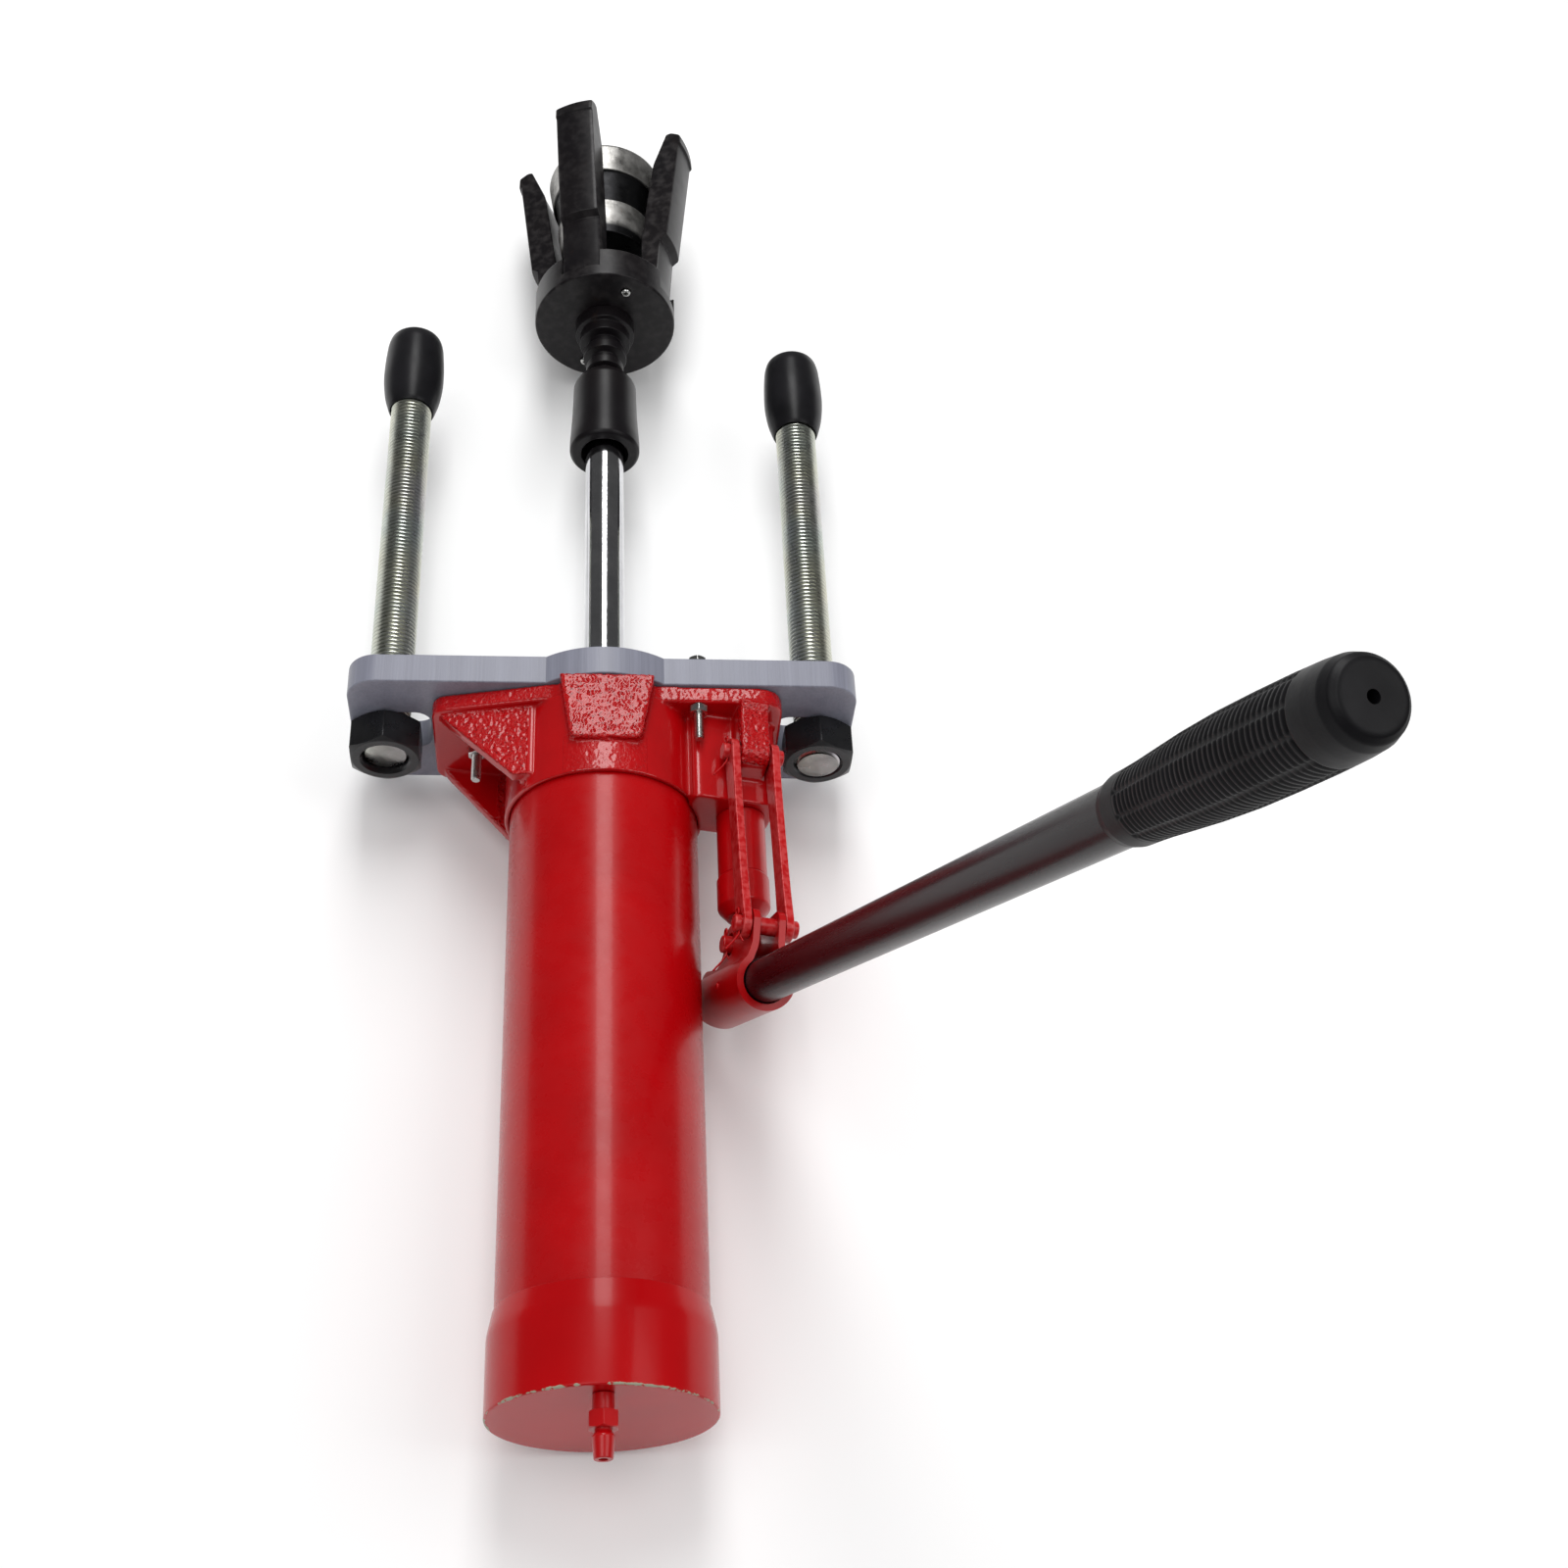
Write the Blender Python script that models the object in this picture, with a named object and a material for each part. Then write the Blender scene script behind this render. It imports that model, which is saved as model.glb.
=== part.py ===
"""Hydraulic liner puller: a hand pumped ram on a slotted crossbar with two threaded legs,
pulling on an internal claw whose four jaws are spread by a cone.

Metres, +Z up.  The tool lies on its back: X runs along the crossbar, the ram axis runs along
+Y with the claw at the +Y end, and the front of the tool faces up.  Every piece hangs from the
empty "tool_frame", whose own origin is where the ram axis meets the claw side of the crossbar.
"""
import math

import bmesh
import bpy
from mathutils import Matrix

# ---------------------------------------------------------------- driving dimensions (metres)
GAP = 0.0003                      # clearance between neighbours that touch

BAR_LENGTH, BAR_WIDTH, BAR_THICK = 0.304, 0.100, 0.0195
BAR_CORNER, BAR_DISC = 0.018, 0.061
SLOT_INNER, SLOT_OUTER, SLOT_WIDTH, SLOT_CORNER = 0.104, 0.146, 0.035, 0.010

LEG_X = 0.1307                    # leg axis from the ram axis
STUD_R, STUD_TOP, STUD_END = 0.0135, 0.284, -0.0385
LEG_CAP_LENGTH, LEG_CAP_WALL = 0.067, 0.012
RIGHT_LEG_DROP = 0.004            # the right leg is screwed this much further back
LEFT_CAP_START, RIGHT_CAP_START = 0.243, 0.231
NUT_FLATS, NUT_HEIGHT = 0.041, 0.022

ROD_R = 0.0127
TUBE_R, TUBE_WALL = 0.0553, 0.0045
CYLINDER_R, CYLINDER_BORE = 0.036, 0.0305
COLLAR_R, COLLAR_END = 0.0585, -0.0865
CAP_R, CAP_TOP, CAP_END, CAP_FLOOR = 0.0588, -0.384, -0.437, 0.012
FLANGE_TOP, FLANGE_END, WEB_END = -BAR_THICK - GAP, -0.031, -0.079

PUMP_X, PUMP_Z, PUMP_TURN = 0.0803, 0.0124, math.radians(13.2)
BLOCK_END = -0.090                # end face of the pump block
BARREL_R, BARREL_END = 0.0143, -0.132
GLAND_R, GLAND_END = 0.0153, -0.158
PLUNGER_R, PLUNGER_PIN_Y = 0.007, -0.176
LINK_PIN_Y, LINK_PIN_Z = -0.1825, 0.0355
FULCRUM_Y, FULCRUM_Z = -0.062, 0.027
PIN_R, PIN_HALF = 0.005, 0.0185
LUG_HALF, LINK_INNER, LINK_THICK, LINK_HALF = 0.0090, 0.0098, 0.0048, 0.0080
EAR_HALF, EAR_THICK = 0.0092, 0.0038

HANDLE_PITCH = math.radians(19.2)
HANDLE_DROP = 0.031               # handle tube axis below the link pin
HANDLE_R, HANDLE_BACK, HANDLE_FRONT = 0.0123, -0.070, 0.566
GRIP_START, GRIP_END = 0.427, 0.573
SADDLE_R = 0.0168                 # outside of the saddle that holds the handle tube

COUPLING_START, COUPLING_END = 0.209, 0.275
CUP_R, CUP_START, CUP_FLOOR_TOP, CUP_TOP = 0.0492, 0.332, 0.341, 0.3575
CONE_START, CONE_END, CONE_R_SMALL, CONE_R_LARGE = 0.397, 0.480, 0.0305, 0.0420
JAW_TURN, JAW_COUNT, JAW_WIDTH = math.radians(-22.0), 4, 0.028
JAW_PIVOT_R, JAW_PIVOT_Y = 0.0385, 0.3500
CUP_SCREW_ANGLES = (math.radians(67), math.radians(247))   # between two jaws
BOLT_PLACES = ((-0.0765, -0.003), (0.0553, 0.0430), (0.0553, -0.0430))
BOLT_R, BOLT_NUT_FLATS, BOLT_NUT_HEIGHT = 0.003, 0.010, 0.005

FINE, COARSE, ROUND_BODY = 32, 20, 48    # segments round medium, small and large pieces


# ---------------------------------------------------------------- scene helpers
def clear_scene():
    for item in list(bpy.data.objects):
        bpy.data.objects.remove(item, do_unlink=True)


def material(name, colour, roughness, metallic):
    finish = bpy.data.materials.new(name)
    finish.use_nodes = True
    shader = finish.node_tree.nodes["Principled BSDF"]
    shader.inputs["Base Color"].default_value = (*colour, 1.0)
    shader.inputs["Roughness"].default_value = roughness
    shader.inputs["Metallic"].default_value = metallic
    return finish


def empty(name, parent=None, location=(0, 0, 0), rotation=(0, 0, 0)):
    holder = bpy.data.objects.new(name, None)
    bpy.context.scene.collection.objects.link(holder)
    holder.parent = parent
    holder.location = location
    holder.rotation_euler = rotation
    return holder


def add_object(name, bm, finish=None, parent=None, location=(0, 0, 0), rotation=(0, 0, 0)):
    bmesh.ops.recalc_face_normals(bm, faces=bm.faces)
    mesh = bpy.data.meshes.new(name)
    bm.to_mesh(mesh)
    bm.free()
    piece = bpy.data.objects.new(name, mesh)
    bpy.context.scene.collection.objects.link(piece)
    piece.parent = parent
    piece.location = location
    piece.rotation_euler = rotation
    if finish:
        mesh.materials.append(finish)
    mesh.shade_smooth()
    mesh.set_sharp_from_angle(angle=math.radians(35))
    return piece


def carve(piece, operands, operation="DIFFERENCE"):
    """Apply one Boolean per operand, all given in the piece's own frame, and drop them."""
    for operand in operands:
        operand.parent = piece.parent
        bpy.context.view_layer.update()
        cut = piece.modifiers.new("cut", "BOOLEAN")
        cut.object = operand
        cut.operation = operation
        cut.solver = "EXACT"
        graph = bpy.context.evaluated_depsgraph_get()
        result = bpy.data.meshes.new_from_object(piece.evaluated_get(graph))
        piece.modifiers.remove(cut)
        piece.data = result
        bpy.data.objects.remove(operand, do_unlink=True)
    tidy_mesh(piece.data)
    return piece


def tidy_mesh(mesh):
    bm = bmesh.new()
    bm.from_mesh(mesh)
    bmesh.ops.dissolve_degenerate(bm, dist=1e-6, edges=bm.edges)
    bmesh.ops.triangulate(bm, faces=[f for f in bm.faces if len(f.verts) > 4])
    bm.to_mesh(mesh)
    bm.free()
    mesh.shade_smooth()
    mesh.set_sharp_from_angle(angle=math.radians(35))


# ---------------------------------------------------------------- outlines and solids
def arc(cx, cy, radius, start, stop, steps):
    """Points on an arc, angles in degrees."""
    return [(cx + radius * math.cos(math.radians(start + (stop - start) * i / steps)),
             cy + radius * math.sin(math.radians(start + (stop - start) * i / steps)))
            for i in range(steps + 1)]


def rounded_box(x0, y0, x1, y1, radius, steps=6):
    return (arc(x1 - radius, y1 - radius, radius, 0, 90, steps)
            + arc(x0 + radius, y1 - radius, radius, 90, 180, steps)
            + arc(x0 + radius, y0 + radius, radius, 180, 270, steps)
            + arc(x1 - radius, y0 + radius, radius, 270, 360, steps))


def hexagon(flats):
    """Hexagon with a corner on the second axis, so that nuts show a corner at the front."""
    radius = flats / math.sqrt(3)
    return [(radius * math.cos(math.radians(60 * i + 30)),
             radius * math.sin(math.radians(60 * i + 30))) for i in range(6)]


def prism_bm(outline, start, stop, axes):
    """Extrude a 2D outline from start to stop.  axes maps (u, v, w) to x, y, z."""
    bm = bmesh.new()
    rings = [[bm.verts.new(axes(u, v, w)) for u, v in outline] for w in (start, stop)]
    bm.faces.new(rings[0])
    bm.faces.new(rings[1])
    count = len(outline)
    for i in range(count):
        j = (i + 1) % count
        bm.faces.new((rings[0][i], rings[0][j], rings[1][j], rings[1][i]))
    return bm


def along_y(u, v, w):
    return (u, w, v)


def along_x(u, v, w):
    return (w, u, v)


def along_z(u, v, w):
    return (u, v, w)


def prism(name, outline, start, stop, axes=along_y, **where):
    return add_object(name, prism_bm(outline, start, stop, axes), **where)


def lathe_bm(profile, segments, axes=along_y):
    """Turn a closed profile of (radius, height); points on the axis become flat end faces."""
    bm = bmesh.new()
    rings = []
    for radius, height in profile:
        if radius < 1e-7:
            rings.append(None)
            continue
        rings.append([bm.verts.new(axes(radius * math.cos(2 * math.pi * i / segments),
                                        radius * math.sin(2 * math.pi * i / segments), height))
                      for i in range(segments)])
    for a, b in zip(rings, rings[1:] + rings[:1]):
        if a is None or b is None:
            if a or b:
                bm.faces.new(a or b)
            continue
        for i in range(segments):
            j = (i + 1) % segments
            bm.faces.new((a[i], a[j], b[j], b[i]))
    return bm


def lathe(name, profile, segments=FINE, axes=along_y, **where):
    return add_object(name, lathe_bm(profile, segments, axes), **where)


def rod(name, radius, start, stop, chamfer=0.0, segments=COARSE, axes=along_y, **where):
    profile = [(0, start), (radius - chamfer, start), (radius, start + chamfer),
               (radius, stop - chamfer), (radius - chamfer, stop), (0, stop)]
    if not chamfer:
        profile = [(0, start), (radius, start), (radius, stop), (0, stop)]
    return lathe(name, profile, segments, axes, **where)


def sleeve(name, outer, inner, start, stop, chamfer=0.0, segments=FINE, **where):
    profile = [(inner, start), (outer - chamfer, start), (outer, start + chamfer),
               (outer, stop - chamfer), (outer - chamfer, stop), (inner, stop)]
    if not chamfer:
        profile = [(inner, start), (outer, start), (outer, stop), (inner, stop)]
    return lathe(name, profile, segments, **where)


def hex_nut(name, flats, bore, start, stop, segments=COARSE, **where):
    """Hexagon with both faces turned down to a round land, and a bore if given."""
    nut = prism(name, hexagon(flats), start, stop, **where)
    corner = flats / math.sqrt(3)
    depth = (corner - flats / 2) * 0.62
    profile = [(0, start), (flats / 2 * 0.97, start), (corner * 1.01, start + depth),
               (corner * 1.01, stop - depth), (flats / 2 * 0.97, stop), (0, stop)]
    carve(nut, [turned_operand(profile, FINE, where)], "INTERSECT")
    if bore:
        hole = [(0, start - 0.01), (bore, start - 0.01), (bore, stop + 0.01), (0, stop + 0.01)]
        carve(nut, [turned_operand(hole, segments, where)])
    return nut


def turned_operand(profile, segments, where, axes=along_y):
    return lathe("operand", profile, segments, axes,
                 location=where.get("location", (0, 0, 0)),
                 rotation=where.get("rotation", (0, 0, 0)))


def hole(radius, start, stop, segments=COARSE, axes=along_y, location=(0, 0, 0)):
    return lathe("hole", [(0, start), (radius, start), (radius, stop), (0, stop)],
                 segments, axes, location=location)


# ---------------------------------------------------------------- crossbar and legs
def crossbar(frame, finish):
    half_l, half_w, r = BAR_LENGTH / 2, BAR_WIDTH / 2, BAR_CORNER
    reach = math.degrees(math.asin(half_w / BAR_DISC))
    outline = (arc(half_l - r, half_w - r, r, 0, 90, 6)
               + arc(0, 0, BAR_DISC, reach, 180 - reach, 12)
               + arc(-half_l + r, half_w - r, r, 90, 180, 6)
               + arc(-half_l + r, -half_w + r, r, 180, 270, 6)
               + arc(0, 0, BAR_DISC, 180 + reach, 360 - reach, 12)
               + arc(half_l - r, -half_w + r, r, 270, 360, 6))
    bar = prism("crossbar", outline, -BAR_THICK, 0, finish=finish, parent=frame)
    cuts = [hole(0.0200, -0.03, 0.01, FINE)]
    for side in (-1, 1):
        inner, outer = sorted((side * SLOT_INNER, side * SLOT_OUTER))
        slot = rounded_box(inner, -SLOT_WIDTH / 2, outer, SLOT_WIDTH / 2, SLOT_CORNER)
        cuts.append(prism("slot", slot, -0.03, 0.01))
    for x, z in BOLT_PLACES:
        cuts.append(hole(BOLT_R + 0.0005, -0.03, 0.01, 16, location=(x, 0, z)))
    return carve(bar, cuts)


def leg(frame, side, drop, bottom, finishes):
    """One leg: the nut slides in the crossbar slot, the stud screws through the nut."""
    word = "left" if side < 0 else "right"
    holder = empty("leg_frame_" + word, frame, (side * LEG_X, 0, 0))
    hex_nut("leg_nut_" + word, NUT_FLATS, STUD_R + GAP, -BAR_THICK - GAP - NUT_HEIGHT,
            -BAR_THICK - GAP, 32, finish=finishes["black_steel"], parent=holder)
    rod("leg_stud_" + word, STUD_R, STUD_END - drop, STUD_TOP - drop, 0.0015, 32,
        finish=finishes["zinc"], parent=holder)
    top = bottom + LEG_CAP_LENGTH
    bore, seat = STUD_R + GAP, top - LEG_CAP_WALL
    profile = [(bore, bottom), (0.0155, bottom), (0.0188, bottom + 0.013),
               (0.0204, bottom + 0.027), (0.0200, bottom + 0.044), (0.0187, top - 0.007),
               (0.0168, top - 0.0022), (0.0130, top), (0, top), (0, seat), (bore, seat)]
    lathe("leg_cap_" + word, profile, 32, finish=finishes["rubber"], parent=holder)


# ---------------------------------------------------------------- cast body
def flange_outline():
    """Casting flange under the crossbar: full width on the right, tapered on the left."""
    right, left = 0.106, -0.102
    return (arc(right - 0.014, 0.048 - 0.014, 0.014, 0, 90, 6) + [(-0.030, 0.050)]
            + arc(left + 0.010, 0.037 - 0.010, 0.010, 100, 180, 5)
            + arc(left + 0.010, -0.037 + 0.010, 0.010, 180, 260, 5) + [(-0.030, -0.050)]
            + arc(right - 0.014, -0.048 + 0.014, 0.014, 270, 360, 6))


def web(side):
    """Triangular web that stiffens the left arm of the flange, along its tapered edge."""
    outer, inner, thick = (-0.098, 0.0325), (-0.044, 0.0425), 0.0075
    bm = bmesh.new()
    layers = []
    for inset in (0.0, thick):
        corners = [(outer, FLANGE_END + 0.002), (inner, FLANGE_END + 0.002),
                   (inner, WEB_END), ((-0.0535, 0.0405), WEB_END),
                   ((-0.096, 0.0327), FLANGE_END - 0.003)]
        layers.append([bm.verts.new((x, y, side * (z - inset))) for (x, z), y in corners])
    bm.faces.new(layers[0])
    bm.faces.new(layers[1])
    count = len(layers[0])
    for i in range(count):
        j = (i + 1) % count
        bm.faces.new((layers[0][i], layers[0][j], layers[1][j], layers[1][i]))
    return add_object("web", bm)


def front_pad():
    """Raised rough pad on the front of the collar, narrower towards its lower edge."""
    profile = [(-0.0265, -0.0235), (0.0290, -0.0235), (0.0215, -0.063),
               (0.0190, -0.0655), (-0.0180, -0.0655), (-0.0205, -0.063)]
    return prism("pad", profile, 0.030, 0.0612, along_z)


def pump_local(outline, start, stop, axes):
    """An operand drawn in the pump's own frame, placed in the tool frame."""
    return prism("operand", outline, start, stop, axes,
                 location=(PUMP_X, 0, PUMP_Z), rotation=(0, PUMP_TURN, 0))


def lug_outline():
    """Side view (y, z) of the lug that carries the fulcrum pin."""
    front = FULCRUM_Z + 0.009
    return ([(FLANGE_END + 0.002, 0.006), (FLANGE_END + 0.002, front)]
            + arc(FULCRUM_Y, FULCRUM_Z, 0.009, 90, 180, 6)
            + [(FULCRUM_Y - 0.015, 0.012), (BLOCK_END + 0.008, 0.006)])


def casting(frame, finish):
    body = prism("body_casting", flange_outline(), FLANGE_END, FLANGE_TOP,
                 finish=finish, parent=frame)
    collar = lathe("collar", [(0, FLANGE_TOP - 0.002), (COLLAR_R, FLANGE_TOP - 0.002),
                              (COLLAR_R, COLLAR_END + 0.002), (COLLAR_R - 0.002, COLLAR_END),
                              (0, COLLAR_END)], 64)
    block = pump_local(rounded_box(-0.034, -0.019, 0.0185, 0.0185, 0.006, 4),
                       BLOCK_END, FLANGE_END + 0.002, along_y)
    lug = pump_local(lug_outline(), -LUG_HALF, LUG_HALF, along_x)
    valve_boss = lathe("boss", [(0, -0.026), (0.0115, -0.026), (0.0115, -0.010), (0, -0.010)],
                       COARSE, along_z, location=(PUMP_X, -0.062, PUMP_Z),
                       rotation=(0, PUMP_TURN, 0))
    carve(body, [collar, front_pad(), web(1), web(-1), block, lug, valve_boss], "UNION")
    cuts = [hole(ROD_R + 0.0006, -0.06, 0.01, FINE),
            hole(CYLINDER_R + GAP, -0.10, -0.046, FINE),
            tube_recess(),
            pump_bore(), fulcrum_bore(), valve_bore()]
    for x, z in BOLT_PLACES:
        cuts.append(hole(BOLT_R + 0.0005, -0.05, 0.01, 16, location=(x, 0, z)))
    return carve(body, cuts)


def tube_recess():
    inner, outer = TUBE_R - TUBE_WALL - GAP, TUBE_R + GAP
    return lathe("recess", [(inner, -0.100), (outer, -0.100), (outer, -0.060),
                            (inner, -0.060)], ROUND_BODY)


def pump_bore():
    profile = [(0, -0.10), (0.0112, -0.10), (0.0112, -0.072), (0, -0.072)]
    return lathe("bore", profile, COARSE, location=(PUMP_X, 0, PUMP_Z),
                 rotation=(0, PUMP_TURN, 0))


def fulcrum_bore():
    bore = lathe("bore", [(0, -0.03), (PIN_R + GAP, -0.03), (PIN_R + GAP, 0.03), (0, 0.03)],
                 COARSE, along_x)
    bore.matrix_basis = pump_matrix() @ Matrix.Translation((0, FULCRUM_Y, FULCRUM_Z))
    return bore


def valve_bore():
    profile = [(0, -0.040), (0.0042, -0.040), (0.0042, -0.013), (0, -0.013)]
    return lathe("bore", profile, 16, along_z, location=(PUMP_X, -0.062, PUMP_Z),
                 rotation=(0, PUMP_TURN, 0))


def pump_matrix():
    return Matrix.Translation((PUMP_X, 0, PUMP_Z)) @ Matrix.Rotation(PUMP_TURN, 4, "Y")


# ---------------------------------------------------------------- cylinder and reservoir
def reservoir(frame, finishes):
    sleeve("reservoir_tube", TUBE_R, TUBE_R - TUBE_WALL, CAP_END + CAP_FLOOR + GAP,
           -0.060 - GAP, segments=64, finish=finishes["red_paint"], parent=frame)
    floor = CAP_END + CAP_FLOOR
    seat = TUBE_R + GAP
    profile = [(seat, floor), (seat, CAP_TOP), (seat + 0.0006, CAP_TOP),
               (CAP_R - 0.0008, CAP_TOP - 0.0115), (CAP_R, CAP_TOP - 0.0135),
               (CAP_R, CAP_END + 0.0012), (CAP_R - 0.0012, CAP_END), (0, CAP_END), (0, floor)]
    cap = lathe("end_cap", profile, 64, finish=finishes["red_paint"], parent=frame)
    valve_z = 0.044
    carve(cap, [hole(0.0040, CAP_END - 0.01, floor + 0.01, 16, location=(0, 0, valve_z))])
    bleed_valve(frame, finishes["red_paint"], (0, 0, valve_z))
    sleeve("inner_cylinder", CYLINDER_R, CYLINDER_BORE, floor + GAP, -0.046 - GAP,
           finish=finishes["bare_steel"], parent=frame)
    sleeve("rod_gland", 0.0197, ROD_R + GAP, FLANGE_TOP + GAP, -0.0002, 0.0008,
           finish=finishes["bare_steel"], parent=frame)


def bleed_valve(frame, finish, location):
    """Bleed nipple in the end cap: threaded shank, stem, hexagon, neck and tapered tip."""
    top = CAP_END + CAP_FLOOR - 0.001
    stem = [(0, top), (0.0037, top), (0.0037, CAP_END - GAP), (0.0054, CAP_END - GAP),
            (0.0054, -0.4465), (0, -0.4465)]
    nipple = lathe("bleed_valve", stem, 16, finish=finish, parent=frame, location=location)
    collar = prism("collar", hexagon(0.0140), -0.4540, -0.4455, location=location)
    tip = lathe("tip", [(0, -0.453), (0.0046, -0.453), (0.0046, -0.4555), (0.0057, -0.4575),
                        (0.0048, -0.4680), (0.0022, -0.4680), (0.0022, -0.4600), (0, -0.4600)],
                16, location=location)
    return carve(nipple, [collar, tip], "UNION")


def flange_bolts(frame, finish):
    """Three bolts through the crossbar and the casting flange, with their nuts below."""
    for index, (x, z) in enumerate(BOLT_PLACES, start=1):
        place = (x, 0, z)
        bolt = prism(f"flange_bolt_{index}", hexagon(BOLT_NUT_FLATS), 0.0002, 0.0042,
                     finish=finish, parent=frame, location=place)
        shank = rod("shank", BOLT_R, -0.0540, 0.001, 0.0008, 16, location=place)
        carve(bolt, [shank], "UNION")
        nut = prism(f"flange_nut_{index}", hexagon(BOLT_NUT_FLATS),
                    FLANGE_END - GAP - BOLT_NUT_HEIGHT, FLANGE_END - GAP,
                    finish=finish, parent=frame, location=place)
        carve(nut, [hole(BOLT_R + GAP, -0.06, -0.02, 16, location=place)])


# ---------------------------------------------------------------- ram and claw
def ram(frame, finishes):
    rod("piston_rod", ROD_R, -0.118, 0.246, 0.0012, 40, finish=finishes["chrome"],
        parent=frame)
    inner = ROD_R + GAP
    sleeve("ram_piston", CYLINDER_BORE - GAP, inner, -0.116, -0.098, 0.0008,
           finish=finishes["bare_steel"], parent=frame)
    sleeve("piston_seal", CYLINDER_BORE - GAP, inner, -0.0976, -0.0916, 0.0012,
           finish=finishes["rubber"], parent=frame)
    lathe("piston_nut", [(0, -0.1285), (0.016, -0.1285), (0.016, -0.1184), (0, -0.1184)],
          6, finish=finishes["bare_steel"], parent=frame)
    lathe("rod_coupling", coupling_profile(), FINE, finish=finishes["black_steel"],
          parent=frame)


def coupling_profile():
    """Screwed coupling: open mouth round the rod, tapered body, chamfered shoulder."""
    start, end = COUPLING_START, COUPLING_END
    return [(0.0158, start), (0.0220, start), (0.0236, start + 0.0018), (0.0214, end - 0.004),
            (0.0180, end), (0.0098, end), (0.0098, end - 0.025), (0, end - 0.025),
            (0, 0.2464), (ROD_R + GAP, 0.2464), (ROD_R + GAP, start + 0.014),
            (0.0158, start + 0.014)]


def claw(frame, finishes):
    black = finishes["black_steel"]
    start, base, wall = CUP_START, CUP_FLOOR_TOP, CUP_TOP
    stem = [(0, 0.2504), (0.0095, 0.2504), (0.0095, 0.2845), (0.0130, 0.2855),
            (0.0130, 0.2915), (0.0105, 0.2925), (0.0105, 0.2965), (0.0150, 0.2985),
            (0.0150, 0.3050), (0.0120, 0.3060), (0.0120, start - GAP - 0.0102),
            (0.0205, start - GAP - 0.0102), (0.0205, start - GAP), (0.0102, start - GAP),
            (0.0102, 0.3500), (0.0062, 0.3500), (0.0062, 0.3150), (0, 0.3150)]
    lathe("claw_stem", stem, 32, finish=black, parent=frame)
    cup = lathe("claw_cup", [(0.0105, start), (CUP_R - 0.001, start), (CUP_R, start + 0.001),
                             (CUP_R, wall - 0.001), (CUP_R - 0.001, wall), (0.0105, wall)],
                FINE, finish=black, parent=frame)
    cuts = []
    for angle in jaw_angles():
        slot = rounded_box(JAW_PIVOT_R - 0.0085, -JAW_WIDTH / 2 - 0.0004,
                           CUP_R + 0.01, JAW_WIDTH / 2 + 0.0004, 0.001, 1)
        cuts.append(prism("slot", slot, base, wall + 0.01, rotation=(0, -angle, 0)))
    for angle in CUP_SCREW_ANGLES:
        cuts.append(hole(0.0036, start - 0.01, start + 0.006, 16,
                         location=radial(0.036, angle)))
    carve(cup, cuts)
    claw_screws(frame, finishes["bright_steel"], start)


def claw_screws(frame, finish, start):
    """Two grub screws that lock the cup on its stem."""
    for index, angle in enumerate(CUP_SCREW_ANGLES, start=1):
        lathe(f"claw_screw_{index}",
              [(0, start - 0.0022), (0.0018, start - 0.0022), (0.0032, start - 0.0010),
               (0.0032, start + 0.0055), (0, start + 0.0055)], 12, finish=finish,
              parent=frame, location=radial(0.036, angle))


def radial(distance, angle):
    return (distance * math.cos(angle), 0, distance * math.sin(angle))


def jaw_angles():
    """Angles in the X Z plane; the first jaw faces the front, turned a little to the left."""
    front = math.radians(90) - JAW_TURN
    return [front + i * 2 * math.pi / JAW_COUNT for i in range(JAW_COUNT)]


def expander_cone(frame, finishes):
    low, high = CONE_START, CONE_END

    def surface(y):
        return CONE_R_SMALL + (CONE_R_LARGE - CONE_R_SMALL) * (y - low) / (high - low)
    groove_low, groove_high, depth = 0.4260, 0.4545, 0.0022
    profile = [(0.0066, low), (surface(low), low),
               (surface(groove_low), groove_low), (surface(groove_low) - depth, groove_low),
               (surface(groove_high) - depth, groove_high), (surface(groove_high), groove_high),
               (surface(high - 0.002), high - 0.002), (CONE_R_LARGE - 0.0015, high),
               (0.0066, high)]
    lathe("expander_cone", profile, FINE, finish=finishes["grey_steel"], parent=frame)
    bolt = [(0, 0.3365), (0.0059, 0.3365), (0.0059, high + GAP), (0.0125, high + GAP),
            (0.0125, high + 0.0095), (0.0110, high + 0.0110), (0, high + 0.0110)]
    screw = lathe("cone_screw", bolt, COARSE, finish=finishes["bare_steel"], parent=frame)
    socket = prism("socket", hexagon(0.0100), high + 0.004, high + 0.02)
    carve(screw, [socket])


def jaw_profile():
    """Radial section (distance from the ram axis, y) of one jaw."""
    return [(0.0320, 0.3440), (0.0450, 0.3440), (0.0455, 0.3570), (0.0486, 0.3910),
            (0.0536, 0.3945), (0.0640, 0.4885), (0.0658, 0.4898), (0.0658, 0.4980),
            (0.0595, 0.5026), (0.0555, 0.5026), (0.0435, 0.4700), (0.0330, 0.3970)]


def jaws(frame, finish, pin_finish):
    for index, angle in enumerate(jaw_angles(), start=1):
        x, _, z = radial(JAW_PIVOT_R, angle)
        pivot = empty(f"jaw_pivot_{index}", frame, (x, JAW_PIVOT_Y, z), (0, -angle, 0))
        outline = [(r - JAW_PIVOT_R, y - JAW_PIVOT_Y) for r, y in jaw_profile()]
        jaw = prism(f"jaw_{index}", outline, -JAW_WIDTH / 2, JAW_WIDTH / 2, along_z,
                    finish=finish, parent=pivot)
        carve(jaw, [hole(0.0026, -0.03, 0.03, 16, along_z)])
        rod(f"jaw_pin_{index}", 0.0023, -0.0137, 0.0137, 0, 12, along_z,
            finish=pin_finish, parent=pivot)


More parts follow.
